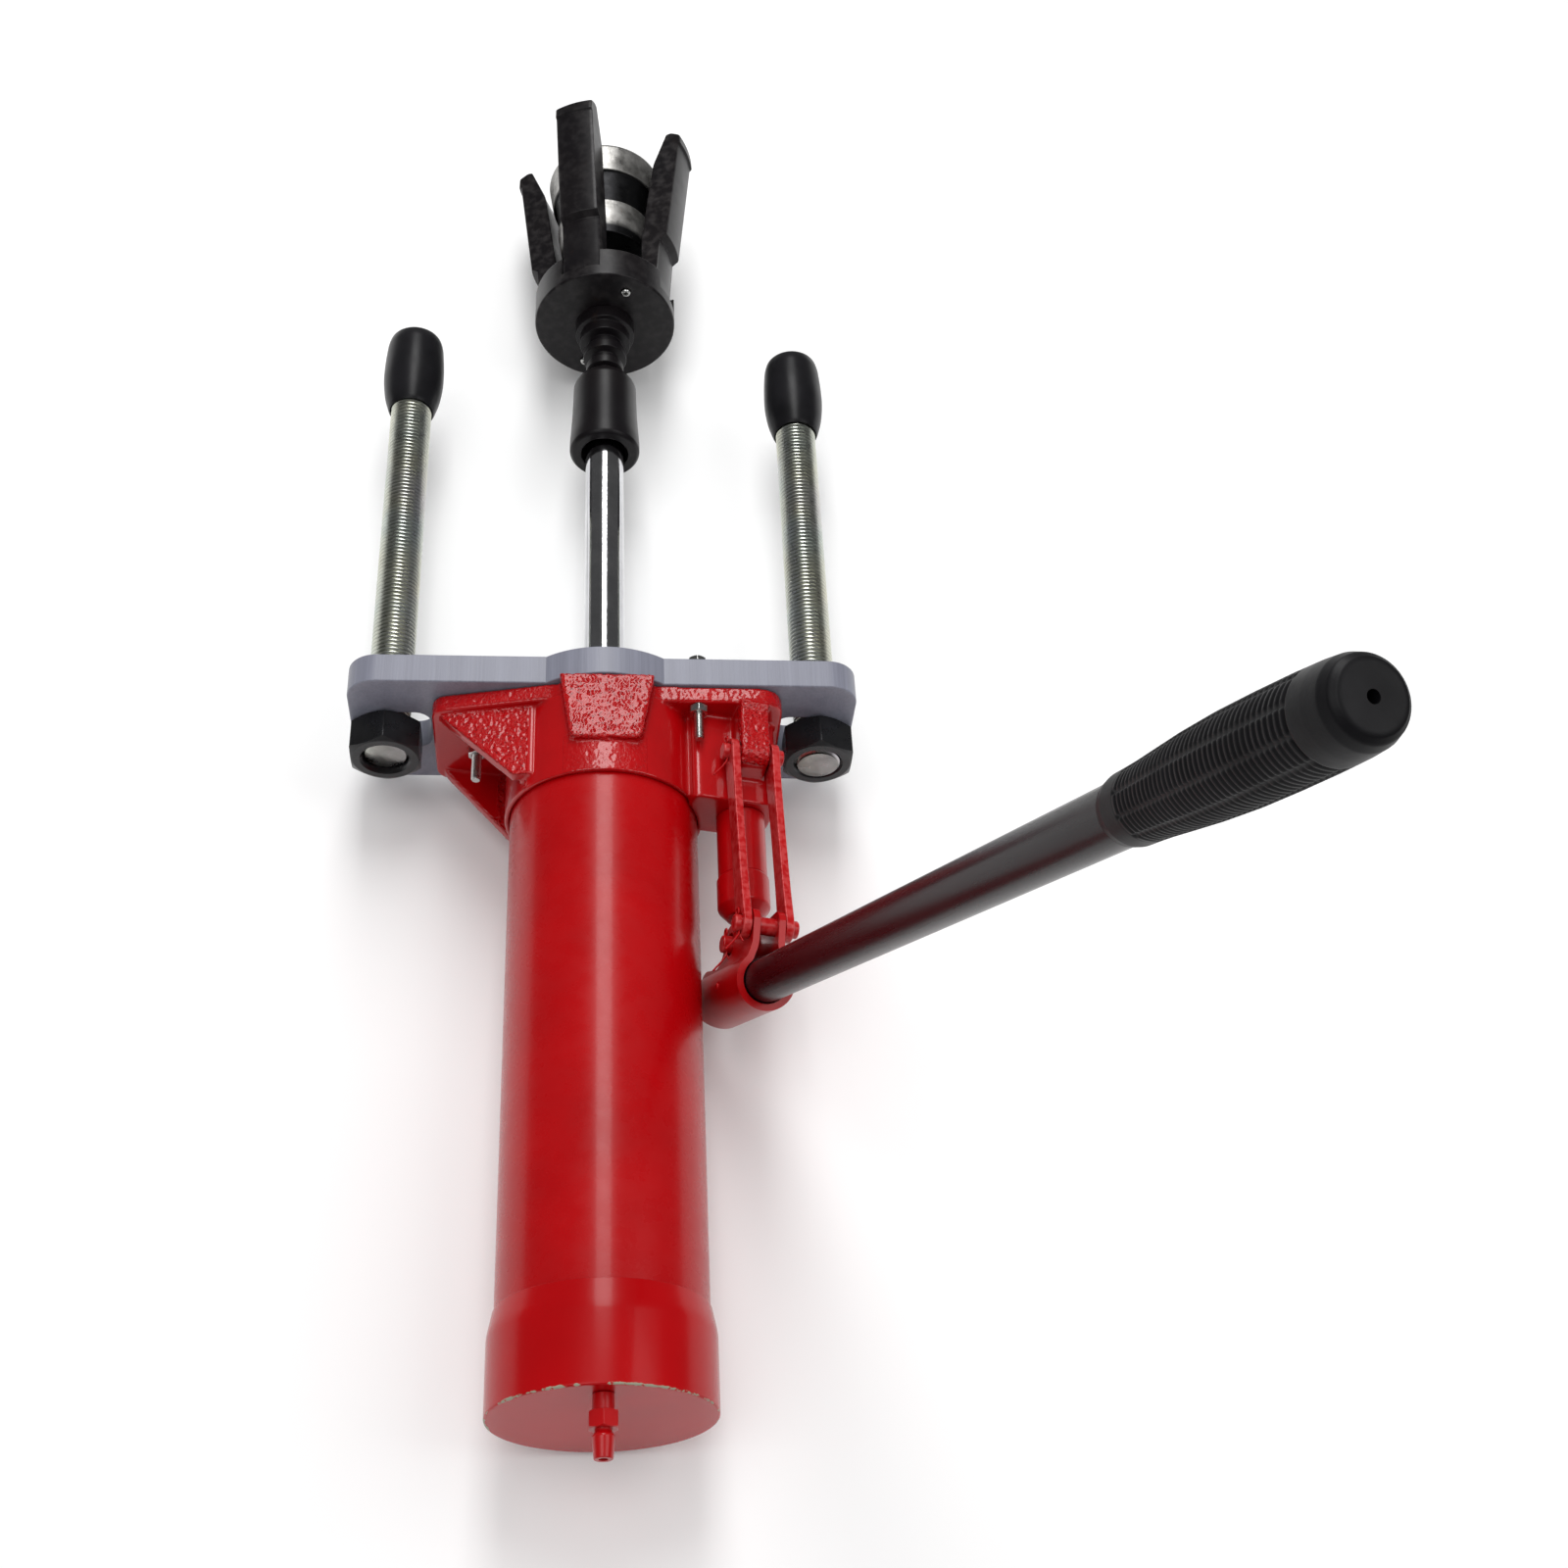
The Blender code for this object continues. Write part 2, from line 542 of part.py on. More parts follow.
# ---------------------------------------------------------------- pump linkage
def pump(frame, finishes):
    red, steel = finishes["red_cast"], finishes["bare_steel"]
    holder = empty("pump_frame", frame, (PUMP_X, 0, PUMP_Z), (0, PUMP_TURN, 0))
    bore = 0.0080
    barrel = [(bore, -0.0725), (0.0108, -0.0725), (0.0108, BLOCK_END - GAP),
              (BARREL_R, BLOCK_END - GAP), (BARREL_R, BARREL_END), (bore, BARREL_END)]
    lathe("pump_barrel", barrel, 32, finish=red, parent=holder)
    lower, mouth = BARREL_END - GAP, PLUNGER_R + GAP
    gland = [(mouth, lower), (GLAND_R, lower), (GLAND_R, GLAND_END + 0.006),
             (0.0100, GLAND_END), (mouth, GLAND_END)]
    lathe("pump_gland", gland, 32, finish=red, parent=holder)
    plunger(holder, steel, red)
    pivot_pin("fulcrum_pin", holder, (0, FULCRUM_Y, FULCRUM_Z), red)
    links(holder, red)
    handle(holder, finishes)
    release_valve(holder, finishes)


def plunger(holder, steel, red):
    """Pump plunger: a turned stem with a flat eye that sits between the socket ears."""
    stem = rod("pump_plunger", PLUNGER_R, PLUNGER_PIN_Y + 0.0135, -0.100, 0.0008, COARSE,
               finish=steel, parent=holder)
    shoulder, half = PLUNGER_PIN_Y + 0.011, 0.0050
    eye = prism("eye", arc(PLUNGER_PIN_Y, 0, 0.0086, 80, 280, 12)
                + [(shoulder, -half), (shoulder + 0.010, -half), (shoulder + 0.010, half),
                   (shoulder, half)], -0.0046, 0.0046, along_x)
    carve(stem, [eye], "UNION")
    bore = hole(PIN_R + GAP, -0.02, 0.02, COARSE, along_x, (0, PLUNGER_PIN_Y, 0))
    carve(stem, [bore])
    sleeve("plunger_seal", 0.0077, PLUNGER_R + 0.0003, -0.112, -0.107, 0, COARSE,
           finish=red, parent=holder)
    pivot_pin("plunger_pin", holder, (0, PLUNGER_PIN_Y, 0), red, 0.0145)


def pivot_pin(name, holder, location, finish, half=PIN_HALF):
    """Pin along X with a chamfered end each side, drilled for its split pin."""
    pin = rod(name, PIN_R, -half, half, 0.0012, 20, along_x, finish=finish, parent=holder,
              location=location)
    x, y, z = location
    reach = half - 0.0030
    cut = prism("drill", [(0.0011 * math.cos(math.radians(a)), 0.0011 * math.sin(math.radians(a)))
                          for a in range(0, 360, 45)], -0.01, 0.01, along_y,
                location=(x - reach, y, z))
    carve(pin, [cut])
    split_pin(name.replace("_pin", "_split_pin"), holder, (x - reach, y, z), finish)
    return pin


def split_pin(name, holder, location, finish):
    """Bent split pin: a small eye on one side, one long leg splayed on the other."""
    points = [(0, 0.0085), (0, -0.0075), (-0.004, -0.0125), (-0.009, -0.0185)]
    radius, sides = 0.0008, 6
    bm = bmesh.new()
    rings = []
    for index, (x, y) in enumerate(points):
        rings.append([bm.verts.new((x + radius * math.cos(2 * math.pi * k / sides), y,
                                    radius * math.sin(2 * math.pi * k / sides)))
                      for k in range(sides)])
    for a, b in zip(rings, rings[1:]):
        for k in range(sides):
            m = (k + 1) % sides
            bm.faces.new((a[k], a[m], b[m], b[k]))
    bm.faces.new(rings[0])
    bm.faces.new(rings[-1])
    return add_object(name, bm, finish, holder, location)


def link_outline(length):
    """Side view of a link, from the fulcrum (0, 0) down to (-length, 0)."""
    return (arc(0, 0, LINK_HALF, -90, 90, 8)
            + [(-0.020, LINK_HALF * 0.80), (-length + 0.020, LINK_HALF * 0.80)]
            + arc(-length, 0, LINK_HALF, 90, 270, 8)
            + [(-length + 0.020, -LINK_HALF * 0.80), (-0.020, -LINK_HALF * 0.80)])


def links(holder, finish):
    drop, reach = FULCRUM_Y - LINK_PIN_Y, LINK_PIN_Z - FULCRUM_Z
    length, lean = math.hypot(drop, reach), math.atan2(reach, drop)
    pivot = empty("link_pivot", holder, (0, FULCRUM_Y, FULCRUM_Z), (-lean, 0, 0))
    for word, side in (("left", -1), ("right", 1)):
        near, far = sorted((side * LINK_INNER, side * (LINK_INNER + LINK_THICK)))
        link = prism("pump_link_" + word, link_outline(length), near, far, along_x,
                     finish=finish, parent=pivot)
        carve(link, [hole(PIN_R + GAP, -0.03, 0.03, 20, along_x),
                     hole(PIN_R + GAP, -0.03, 0.03, 20, along_x, (0, -length, 0))])
    pivot_pin("link_pin", pivot, (0, -length, 0), finish)


def saddle_outline():
    """Keyhole section (x, y): a ring round the handle tube that runs up into two ears."""
    inner_r, outer_r = SADDLE_R - EAR_THICK, SADDLE_R
    outer = arc(0, -HANDLE_DROP, outer_r, 50, -230, 26)
    inner = arc(0, -HANDLE_DROP, inner_r, -232, 52, 26)
    neck = -HANDLE_DROP + outer_r + 0.0045
    ear_in = EAR_HALF - EAR_THICK
    return ([(EAR_HALF, 0.020), (EAR_HALF, neck)] + outer + [(-EAR_HALF, neck), (-EAR_HALF, 0.020),
            (-ear_in, 0.020), (-ear_in, neck - 0.0012)] + inner
            + [(ear_in, neck - 0.0012), (ear_in, 0.020)])


def socket_side_view():
    """Side view (y, z): ears round both pins in front, slanted saddle end behind."""
    pin_y, pin_z = plunger_in_socket()
    return ([(-0.052, 0.008), (-0.012, 0.0085)] + arc(0, 0, 0.0090, 70, 10, 6)
            + arc(pin_y, pin_z, 0.0115, 30, -80, 8)
            + [(-0.0190, -0.050), (-0.0165, -0.080), (-0.036, -0.084), (-0.052, -0.070)])


def plunger_in_socket():
    """Where the plunger pin sits in the handle's frame, as (y, z)."""
    dy, dz = PLUNGER_PIN_Y - LINK_PIN_Y, -LINK_PIN_Z
    cos, sin = math.cos(HANDLE_PITCH), math.sin(HANDLE_PITCH)
    return dy * cos + dz * sin, dz * cos - dy * sin


def handle(holder, finishes):
    red = finishes["red_cast"]
    frame = empty("handle_pivot", holder, (0, LINK_PIN_Y, LINK_PIN_Z), (HANDLE_PITCH, 0, 0))
    socket = prism("handle_socket", saddle_outline(), -0.090, 0.012, along_z,
                   finish=red, parent=frame)
    side = prism("side", socket_side_view(), -0.03, 0.03, along_x)
    carve(socket, [side], "INTERSECT")
    pin_y, pin_z = plunger_in_socket()
    carve(socket, [hole(PIN_R + GAP, -0.03, 0.03, 20, along_x),
                   hole(PIN_R + 0.0018, -0.03, 0.03, 20, along_x, (0, pin_y, pin_z)),
                   hole(0.0022, -0.02, -0.0126, 12, along_x, (0, -HANDLE_DROP, -0.030))])
    rod("handle_set_screw", 0.0020, -0.0180, -0.0128, 0, 12, along_x, finish=red,
        parent=frame, location=(0, -HANDLE_DROP, -0.030))
    lathe("handle_tube", [(0.0105, HANDLE_BACK), (HANDLE_R, HANDLE_BACK),
                          (HANDLE_R, HANDLE_FRONT), (0.0105, HANDLE_FRONT)], 32, along_z,
          finish=finishes["black_paint"], parent=frame, location=(0, -HANDLE_DROP, 0))
    bore = HANDLE_R + GAP
    grip = [(bore, GRIP_START), (0.0138, GRIP_START), (0.0142, GRIP_START + 0.004),
            (0.0145, GRIP_START + 0.018), (0.0160, GRIP_START + 0.045),
            (0.0169, GRIP_START + 0.078), (0.0163, GRIP_END - 0.030),
            (0.0153, GRIP_END - 0.006), (0.0138, GRIP_END - 0.001), (0.0125, GRIP_END),
            (0.0022, GRIP_END), (0.0022, GRIP_END - 0.0055), (bore, GRIP_END - 0.0055)]
    lathe("handle_grip", grip, 40, along_z, finish=finishes["rubber"], parent=frame,
          location=(0, -HANDLE_DROP, 0))


def release_valve(holder, finishes):
    """Release valve at the back of the pump block: threaded stem, knob and cross hole."""
    frame = empty("valve_frame", holder, (0, -0.062, 0))
    knob = [(0, -0.0470), (0.0088, -0.0470), (0.0098, -0.0460), (0.0098, -0.0335),
            (0.0060, -0.0320), (0.0060, -0.0265), (0.0038, -0.0262), (0.0038, -0.0155),
            (0.0012, -0.0135), (0, -0.0135)]
    lathe("release_valve", knob, COARSE, along_z, finish=finishes["bare_steel"], parent=frame)


# ---------------------------------------------------------------- the whole tool
def finishes():
    return {
        "red_paint": material("red_paint", (0.50, 0.006, 0.008), 0.22, 0.0),
        "red_cast": material("red_cast", (0.50, 0.008, 0.010), 0.32, 0.0),
        "grey_paint": material("grey_paint", (0.27, 0.28, 0.33), 0.42, 0.1),
        "black_steel": material("black_steel", (0.012, 0.012, 0.013), 0.38, 0.5),
        "grey_steel": material("grey_steel", (0.33, 0.32, 0.30), 0.40, 1.0),
        "bare_steel": material("bare_steel", (0.50, 0.50, 0.50), 0.35, 1.0),
        "bright_steel": material("bright_steel", (0.70, 0.70, 0.70), 0.22, 1.0),
        "chrome": material("chrome", (0.75, 0.75, 0.77), 0.08, 1.0),
        "zinc": material("zinc_plate", (0.56, 0.56, 0.48), 0.34, 1.0),
        "black_paint": material("black_paint", (0.010, 0.010, 0.011), 0.25, 0.0),
        "rubber": material("black_rubber", (0.012, 0.012, 0.013), 0.60, 0.0),
    }


def centre_on_floor(frame):
    """Put the origin under the middle of the whole tool's box."""
    bpy.context.view_layer.update()
    corners = [item.matrix_world @ vertex.co for item in bpy.data.objects
               if item.type == "MESH" for vertex in item.data.vertices]
    low = [min(corner[axis] for corner in corners) for axis in range(3)]
    high = [max(corner[axis] for corner in corners) for axis in range(3)]
    frame.location = (-(low[0] + high[0]) / 2, -(low[1] + high[1]) / 2, -low[2])
    bpy.context.view_layer.update()


def main():
    clear_scene()
    finish = finishes()
    frame = empty("tool_frame")
    crossbar(frame, finish["grey_paint"])
    leg(frame, -1, 0.0, LEFT_CAP_START, finish)
    leg(frame, 1, RIGHT_LEG_DROP, RIGHT_CAP_START, finish)
    casting(frame, finish["red_cast"])
    reservoir(frame, finish)
    flange_bolts(frame, finish["bright_steel"])
    ram(frame, finish)
    claw(frame, finish)
    expander_cone(frame, finish)
    jaws(frame, finish["black_steel"], finish["bare_steel"])
    pump(frame, finish)
    centre_on_floor(frame)


main()
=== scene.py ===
"""Looks of the hydraulic liner puller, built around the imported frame.  Lengths are in mm."""
import math

import bmesh
import bpy
import numpy as np
from mathutils import Matrix, Vector, noise


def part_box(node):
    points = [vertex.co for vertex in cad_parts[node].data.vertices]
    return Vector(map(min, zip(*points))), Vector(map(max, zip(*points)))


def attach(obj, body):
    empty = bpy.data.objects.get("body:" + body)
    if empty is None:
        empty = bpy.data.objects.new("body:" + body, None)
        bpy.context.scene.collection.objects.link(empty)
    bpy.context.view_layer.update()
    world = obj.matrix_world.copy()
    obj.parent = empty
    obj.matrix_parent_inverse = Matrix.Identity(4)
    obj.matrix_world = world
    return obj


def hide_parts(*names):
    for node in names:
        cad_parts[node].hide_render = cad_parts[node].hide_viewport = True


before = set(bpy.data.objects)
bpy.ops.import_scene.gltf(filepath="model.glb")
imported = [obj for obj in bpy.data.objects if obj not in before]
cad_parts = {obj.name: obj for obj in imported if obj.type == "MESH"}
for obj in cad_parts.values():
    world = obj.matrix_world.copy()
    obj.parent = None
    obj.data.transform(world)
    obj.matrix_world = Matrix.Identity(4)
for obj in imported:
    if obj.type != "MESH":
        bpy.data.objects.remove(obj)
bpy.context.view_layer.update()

MM = 0.001
BAR_LOW, BAR_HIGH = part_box("crossbar")
ORIGIN = Vector(((BAR_LOW.x + BAR_HIGH.x) / 2, BAR_HIGH.y, (BAR_LOW.z + BAR_HIGH.z) / 2))
TOOL = Matrix.Translation(ORIGIN)        # ram axis, at the claw side of the crossbar


def add_object(name, data):
    thing = bpy.data.objects.new(name, data)
    bpy.context.scene.collection.objects.link(thing)
    return thing


def mesh_of(name, bm):
    mesh = bpy.data.meshes.new(name)
    bm.to_mesh(mesh)
    bm.free()
    return mesh


# ---- camera, light, floor
SENSOR_WIDTH, FOCAL_LENGTH = 36.0, 45.64
CAMERA_PLACE = Vector((-0.01226, -0.7223, 1.0005))       # metres from the crossbar
CAMERA_RIGHT = Vector((0.9949, -0.0479, 0.0887))
CAMERA_UP = Vector((-0.0092, 0.8330, 0.5532))
CAMERA_BACK = Vector((-0.1004, -0.5512, 0.8283))


def make_camera():
    data = bpy.data.cameras.new("camera")
    data.sensor_width = SENSOR_WIDTH
    data.lens = FOCAL_LENGTH
    data.clip_end = 20.0
    camera = add_object("camera", data)
    turn = Matrix((CAMERA_RIGHT, CAMERA_UP, CAMERA_BACK)).transposed().to_4x4()
    camera.matrix_world = Matrix.Translation(ORIGIN + CAMERA_PLACE) @ turn
    bpy.context.scene.camera = camera


def area_light(name, position, target, size, power, size_y=None):
    data = bpy.data.lights.new(name, "AREA")
    data.energy = power
    data.size = size
    if size_y:
        data.shape = "RECTANGLE"
        data.size_y = size_y
    light = add_object(name, data)
    light.location = ORIGIN + Vector(position)
    direction = Vector(target) - Vector(position)
    light.rotation_euler = direction.to_track_quat("-Z", "Y").to_euler()


SURROUND, MIRRORED_SURROUND = 0.50, 0.08       # world brightness, and as reflections see it


def make_world():
    world = bpy.data.worlds.new("studio")
    world.use_nodes = True
    tree = world.node_tree
    background = tree.nodes["Background"]
    background.inputs["Color"].default_value = (1.0, 1.0, 1.0, 1.0)
    rays = tree.nodes.new("ShaderNodeLightPath")
    strength = tree.nodes.new("ShaderNodeMapRange")
    strength.inputs["To Min"].default_value = SURROUND
    strength.inputs["To Max"].default_value = MIRRORED_SURROUND
    tree.links.new(rays.outputs["Is Glossy Ray"], strength.inputs["Value"])
    tree.links.new(strength.outputs["Result"], background.inputs["Strength"])
    bpy.context.scene.world = world
    bpy.context.scene.view_settings.view_transform = "Standard"


def make_floor():
    bm = bmesh.new()
    half = 6.0
    corners = [bm.verts.new((x * half, y * half, 0))
               for x, y in ((-1, -1), (1, -1), (1, 1), (-1, 1))]
    bm.faces.new(corners)
    floor = add_object("floor", mesh_of("floor", bm))
    finish = bpy.data.materials.new("floor")
    finish.use_nodes = True
    shader = finish.node_tree.nodes["Principled BSDF"]
    shader.inputs["Base Color"].default_value = (0.93, 0.93, 0.93, 1)
    shader.inputs["Roughness"].default_value = 0.8
    floor.data.materials.append(finish)


# ---- materials
class Nodes:
    """Short names for building a Principled material out of nodes."""

    def __init__(self, name, roughness=0.5, metallic=0.0, coat=0.0, coat_roughness=0.05,
                 specular=0.5):
        self.material = bpy.data.materials.new(name)
        self.material.use_nodes = True
        self.tree = self.material.node_tree
        self.shader = self.tree.nodes["Principled BSDF"]
        self.shader.inputs["Roughness"].default_value = roughness
        self.shader.inputs["Metallic"].default_value = metallic
        self.shader.inputs["Coat Weight"].default_value = coat
        self.shader.inputs["Coat Roughness"].default_value = coat_roughness
        self.shader.inputs["Specular IOR Level"].default_value = specular
        self.coords = self.tree.nodes.new("ShaderNodeTexCoord").outputs["Object"]

    def red(self, scale, detail):
        """Red paint that is uneven in depth."""
        return self.mix(self.band(self.noise(scale, detail), 0.35, 0.65), DEEP_RED, RED)

    def node(self, kind, **values):
        made = self.tree.nodes.new(kind)
        for key, value in values.items():
            setattr(made, key, value)
        return made

    def link(self, source, target):
        self.tree.links.new(source, target)

    def stretched(self, scale):
        mapping = self.node("ShaderNodeMapping")
        mapping.inputs["Scale"].default_value = scale
        self.link(self.coords, mapping.inputs["Vector"])
        return mapping.outputs["Vector"]

    def noise(self, scale, detail=3.0, rough=0.55, stretch=None):
        made = self.node("ShaderNodeTexNoise")
        made.inputs["Scale"].default_value = scale
        made.inputs["Detail"].default_value = detail
        made.inputs["Roughness"].default_value = rough
        vector = self.stretched(stretch) if stretch else self.coords
        self.link(vector, made.inputs["Vector"])
        return made.outputs["Fac"]

    def voronoi(self, scale):
        made = self.node("ShaderNodeTexVoronoi")
        made.inputs["Scale"].default_value = scale
        self.link(self.coords, made.inputs["Vector"])
        return made.outputs["Distance"]

    def band(self, value, low, high, out_low=0.0, out_high=1.0):
        made = self.node("ShaderNodeMapRange")
        made.inputs["From Min"].default_value = low
        made.inputs["From Max"].default_value = high
        made.inputs["To Min"].default_value = out_low
        made.inputs["To Max"].default_value = out_high
        self.link(value, made.inputs["Value"])
        return made.outputs["Result"]

    def math(self, operation, first, second):
        made = self.node("ShaderNodeMath", operation=operation)
        for socket, value in zip(made.inputs, (first, second)):
            if isinstance(value, (int, float)):
                socket.default_value = value
            else:
                self.link(value, socket)
        return made.outputs["Value"]

    def attribute(self, name):
        return self.node("ShaderNodeAttribute", attribute_name=name).outputs["Fac"]

    def axis(self, name):
        made = self.node("ShaderNodeSeparateXYZ")
        self.link(self.coords, made.inputs["Vector"])
        return made.outputs[name]

    def mix(self, factor, first, second):
        """Mix of two colours, each a tuple or a socket."""
        made = self.node("ShaderNodeMix", data_type="RGBA")
        self.link(factor, made.inputs["Factor"])
        for socket, value in ((made.inputs[6], first), (made.inputs[7], second)):
            if isinstance(value, tuple):
                socket.default_value = (*value, 1.0)
            else:
                self.link(value, socket)
        return made.outputs[2]

    def bump(self, height, strength, distance, previous=None):
        made = self.node("ShaderNodeBump")
        made.inputs["Strength"].default_value = strength
        made.inputs["Distance"].default_value = distance
        self.link(height, made.inputs["Height"])
        if previous:
            self.link(previous, made.inputs["Normal"])
        return made.outputs["Normal"]

    def finish(self, colour, roughness=None, normal=None):
        for socket, value in (("Base Color", colour), ("Roughness", roughness),
                              ("Normal", normal)):
            if value is not None:
                self.link(value, self.shader.inputs[socket])
        return self.material


RED, DEEP_RED, CHIP = (0.405, 0.0005, 0.0022), (0.350, 0.0004, 0.0018), (0.30, 0.30, 0.22)


def red_paint():
    """Glossy sprayed paint with a little orange peel and uneven depth."""
    n = Nodes("red_paint", roughness=0.27, coat=0.12, coat_roughness=0.10, specular=0.24)
    colour = n.red(14, 3)
    peel = n.noise(260, 2)
    dust = n.noise(90, 4)
    return n.finish(colour=colour, roughness=n.band(dust, 0.3, 0.7, 0.24, 0.32),
                    normal=n.bump(peel, 0.05, 0.0004))


def red_cap(edge_y):
    """The same paint, chipped to bare metal along the end cap's rim."""
    n = Nodes("red_paint_chipped", roughness=0.27, coat=0.10, coat_roughness=0.10, specular=0.18)
    colour = n.red(14, 3)
    x, z = n.axis("X"), n.axis("Z")
    radius = n.math("POWER", n.math("ADD", n.math("MULTIPLY", x, x), n.math("MULTIPLY", z, z)), 0.5)
    corner = n.math("ADD", n.band(n.axis("Y"), edge_y, edge_y + 0.0030),
                    n.band(radius, CAP_R * MM, 0.0563))
    wander = n.band(n.noise(70, 4, 0.6), 0.30, 0.70, -0.10, 0.72)
    chips = n.band(n.math("SUBTRACT", wander, corner), 0.0, 0.05)
    chips = n.math("MULTIPLY", chips, n.band(n.noise(420, 4, 0.7), 0.40, 0.46))
    chips = n.math("MULTIPLY", chips, n.band(z, -0.030, -0.015))
    colour = n.mix(chips, colour, CHIP)
    normal = n.bump(n.noise(260, 2), 0.05, 0.0004)
    normal = n.bump(chips, -0.5, 0.0002, normal)
    return n.finish(colour=colour, roughness=n.band(chips, 0, 1, 0.24, 0.55), normal=normal)


def red_cast():
    """Paint over a casting: smooth where machined, wrinkled and sparkling where rough, with painted
    shade in the hollows of the wrinkles.
    """
    n = Nodes("red_cast", roughness=0.30, coat=0.60, coat_roughness=0.06, specular=0.20)
    rough = n.attribute("rough")
    colour = n.red(30, 4)
    wrinkle = n.noise(430, 4, 0.65)
    pits = n.band(n.voronoi(620), 0.10, 0.45)
    relief = n.math("ADD", n.math("MULTIPLY", pits, 0.35), wrinkle)
    # painted shade: the low points of the wrinkle relief darkened towards deep red
    painted_hollow_shade = n.math("MULTIPLY", n.band(relief, 0.72, 0.55), rough)
    colour = n.mix(n.math("MULTIPLY", painted_hollow_shade, 0.75), colour, (0.130, 0.0010, 0.0016))
    normal = n.bump(n.math("MULTIPLY", relief, rough), 0.8, 0.0011)
    normal = n.bump(n.noise(420, 3), 0.12, 0.0004, normal)
    return n.finish(colour=colour, roughness=n.band(rough, 0, 1, 0.30, 0.22), normal=normal)


def red_part():
    """Painted linkage parts, with the paint worn thin along their edges."""
    n = Nodes("red_part", roughness=0.30, coat=0.18, coat_roughness=0.10, specular=0.30)
    colour = n.red(60, 4)
    edge = n.math("MULTIPLY", n.attribute("edge"), n.band(n.noise(300, 4), 0.42, 0.58))
    colour = n.mix(n.math("MULTIPLY", edge, 0.55), colour, (0.62, 0.10, 0.10))
    spill = n.band(n.noise(140, 5, 0.7), 0.66, 0.72)
    colour = n.mix(n.math("MULTIPLY", spill, 0.5), colour, (0.10, 0.006, 0.006))
    return n.finish(colour=colour, normal=n.bump(n.noise(330, 3), 0.14, 0.0005))


def grey_bar():
    """Grey paint with brush marks that run through the thickness of the bar."""
    n = Nodes("grey_paint", roughness=0.42, coat=0.10, coat_roughness=0.2)
    strokes = n.noise(1.0, 5, 0.7, stretch=(620, 9, 620))
    wide = n.noise(1.0, 3, 0.6, stretch=(120, 4, 120))
    both = n.math("ADD", n.math("MULTIPLY", strokes, 0.6), n.math("MULTIPLY", wide, 0.4))
    colour = n.mix(n.band(both, 0.36, 0.66), (0.158, 0.162, 0.205), (0.222, 0.228, 0.282))
    normal = n.bump(strokes, 0.22, 0.0006)
    return n.finish(colour=colour, roughness=n.band(strokes, 0.3, 0.7, 0.36, 0.50), normal=normal)


def zinc_thread():
    """Yellow passivated zinc: greenish grey with faint straw tints, painted shade in the thread
    roots.
    """
    n = Nodes("zinc_thread", roughness=0.30, metallic=1.0)
    tint = n.mix(n.band(n.noise(16, 3), 0.38, 0.62), (0.60, 0.65, 0.61), (0.72, 0.71, 0.59))
    tint = n.mix(n.band(n.noise(9, 3), 0.54, 0.68), tint, (0.64, 0.60, 0.65))
    root = n.math("SUBTRACT", 1.0, n.attribute("crest"))
    # painted shade: every thread root darkened towards near black, unevenly by noise
    painted_root_shade = n.math("MULTIPLY", root, n.band(n.noise(60, 3), 0.25, 0.75, 0.45, 0.85))
    colour = n.mix(painted_root_shade, tint, (0.12, 0.125, 0.105))
    return n.finish(colour=colour, roughness=n.band(n.noise(120, 3), 0.3, 0.7, 0.24, 0.36),
                    normal=n.bump(n.noise(900, 3), 0.08, 0.0002))


def steel(name, dark, light, roughness, metallic=1.0, turned=0.0, scale=45):
    """Machined or oxidised steel with patchy tone and, if wanted, turning marks along Y."""
    n = Nodes(name, roughness=roughness, metallic=metallic)
    colour = n.mix(n.band(n.noise(scale, 5, 0.6), 0.36, 0.64), dark, light)
    rough = n.band(n.noise(130, 4), 0.3, 0.7, roughness * 0.8, roughness * 1.25)
    normal = n.bump(n.noise(700, 3), 0.08, 0.0003)
    if turned:
        rings = n.noise(1.0, 4, 0.7, stretch=(6, 2600, 6))
        normal = n.bump(rings, turned, 0.0003, normal)
    return n.finish(colour=colour, roughness=rough, normal=normal)


def claw_steel():
    """Black oxide, brownish, rubbed brighter along the edges."""
    n = Nodes("claw_steel", roughness=0.34, specular=0.24)
    colour = n.mix(n.band(n.noise(18, 3, 0.5), 0.30, 0.70), (0.0040, 0.0032, 0.0044),
                   (0.0072, 0.0056, 0.0062))
    rust = n.band(n.noise(60, 6, 0.7), 0.62, 0.80)
    colour = n.mix(n.math("MULTIPLY", rust, 0.35), colour, (0.030, 0.015, 0.009))
    edge = n.math("MULTIPLY", n.attribute("edge"), n.band(n.noise(150, 4), 0.44, 0.66))
    colour = n.mix(n.math("MULTIPLY", edge, 0.35), colour, (0.060, 0.055, 0.055))
    return n.finish(colour=colour, roughness=n.band(n.noise(40, 3), 0.3, 0.7, 0.32, 0.40),
                    normal=n.bump(n.noise(480, 3), 0.03, 0.0002))


def cone_steel(groove):
    """Worn grey cone with scuffs and light rust; the groove is dark with old grease."""
    n = Nodes("cone_steel", roughness=0.36, metallic=0.9)
    colour = n.mix(n.band(n.noise(60, 5, 0.65), 0.34, 0.66), (0.20, 0.195, 0.185),
                   (0.52, 0.51, 0.49))
    rust = n.band(n.noise(75, 6, 0.7), 0.62, 0.70)
    colour = n.mix(n.math("MULTIPLY", rust, 0.6), colour, (0.20, 0.105, 0.055))
    y = n.axis("Y")
    low, high = groove
    inside = n.math("MULTIPLY", n.band(y, low - 0.0006, low + 0.0006),
                    n.band(y, high + 0.0006, high - 0.0006))
    below = n.band(y, low - 0.0190, low - 0.0230)
    dark = n.math("MAXIMUM", inside, below)
    colour = n.mix(dark, colour, (0.014, 0.014, 0.015))
    rings = n.noise(1.0, 4, 0.7, stretch=(5, 1800, 5))
    return n.finish(colour=colour, roughness=n.band(n.noise(140, 4), 0.3, 0.7, 0.26, 0.50),
                    normal=n.bump(rings, 0.25, 0.0004))


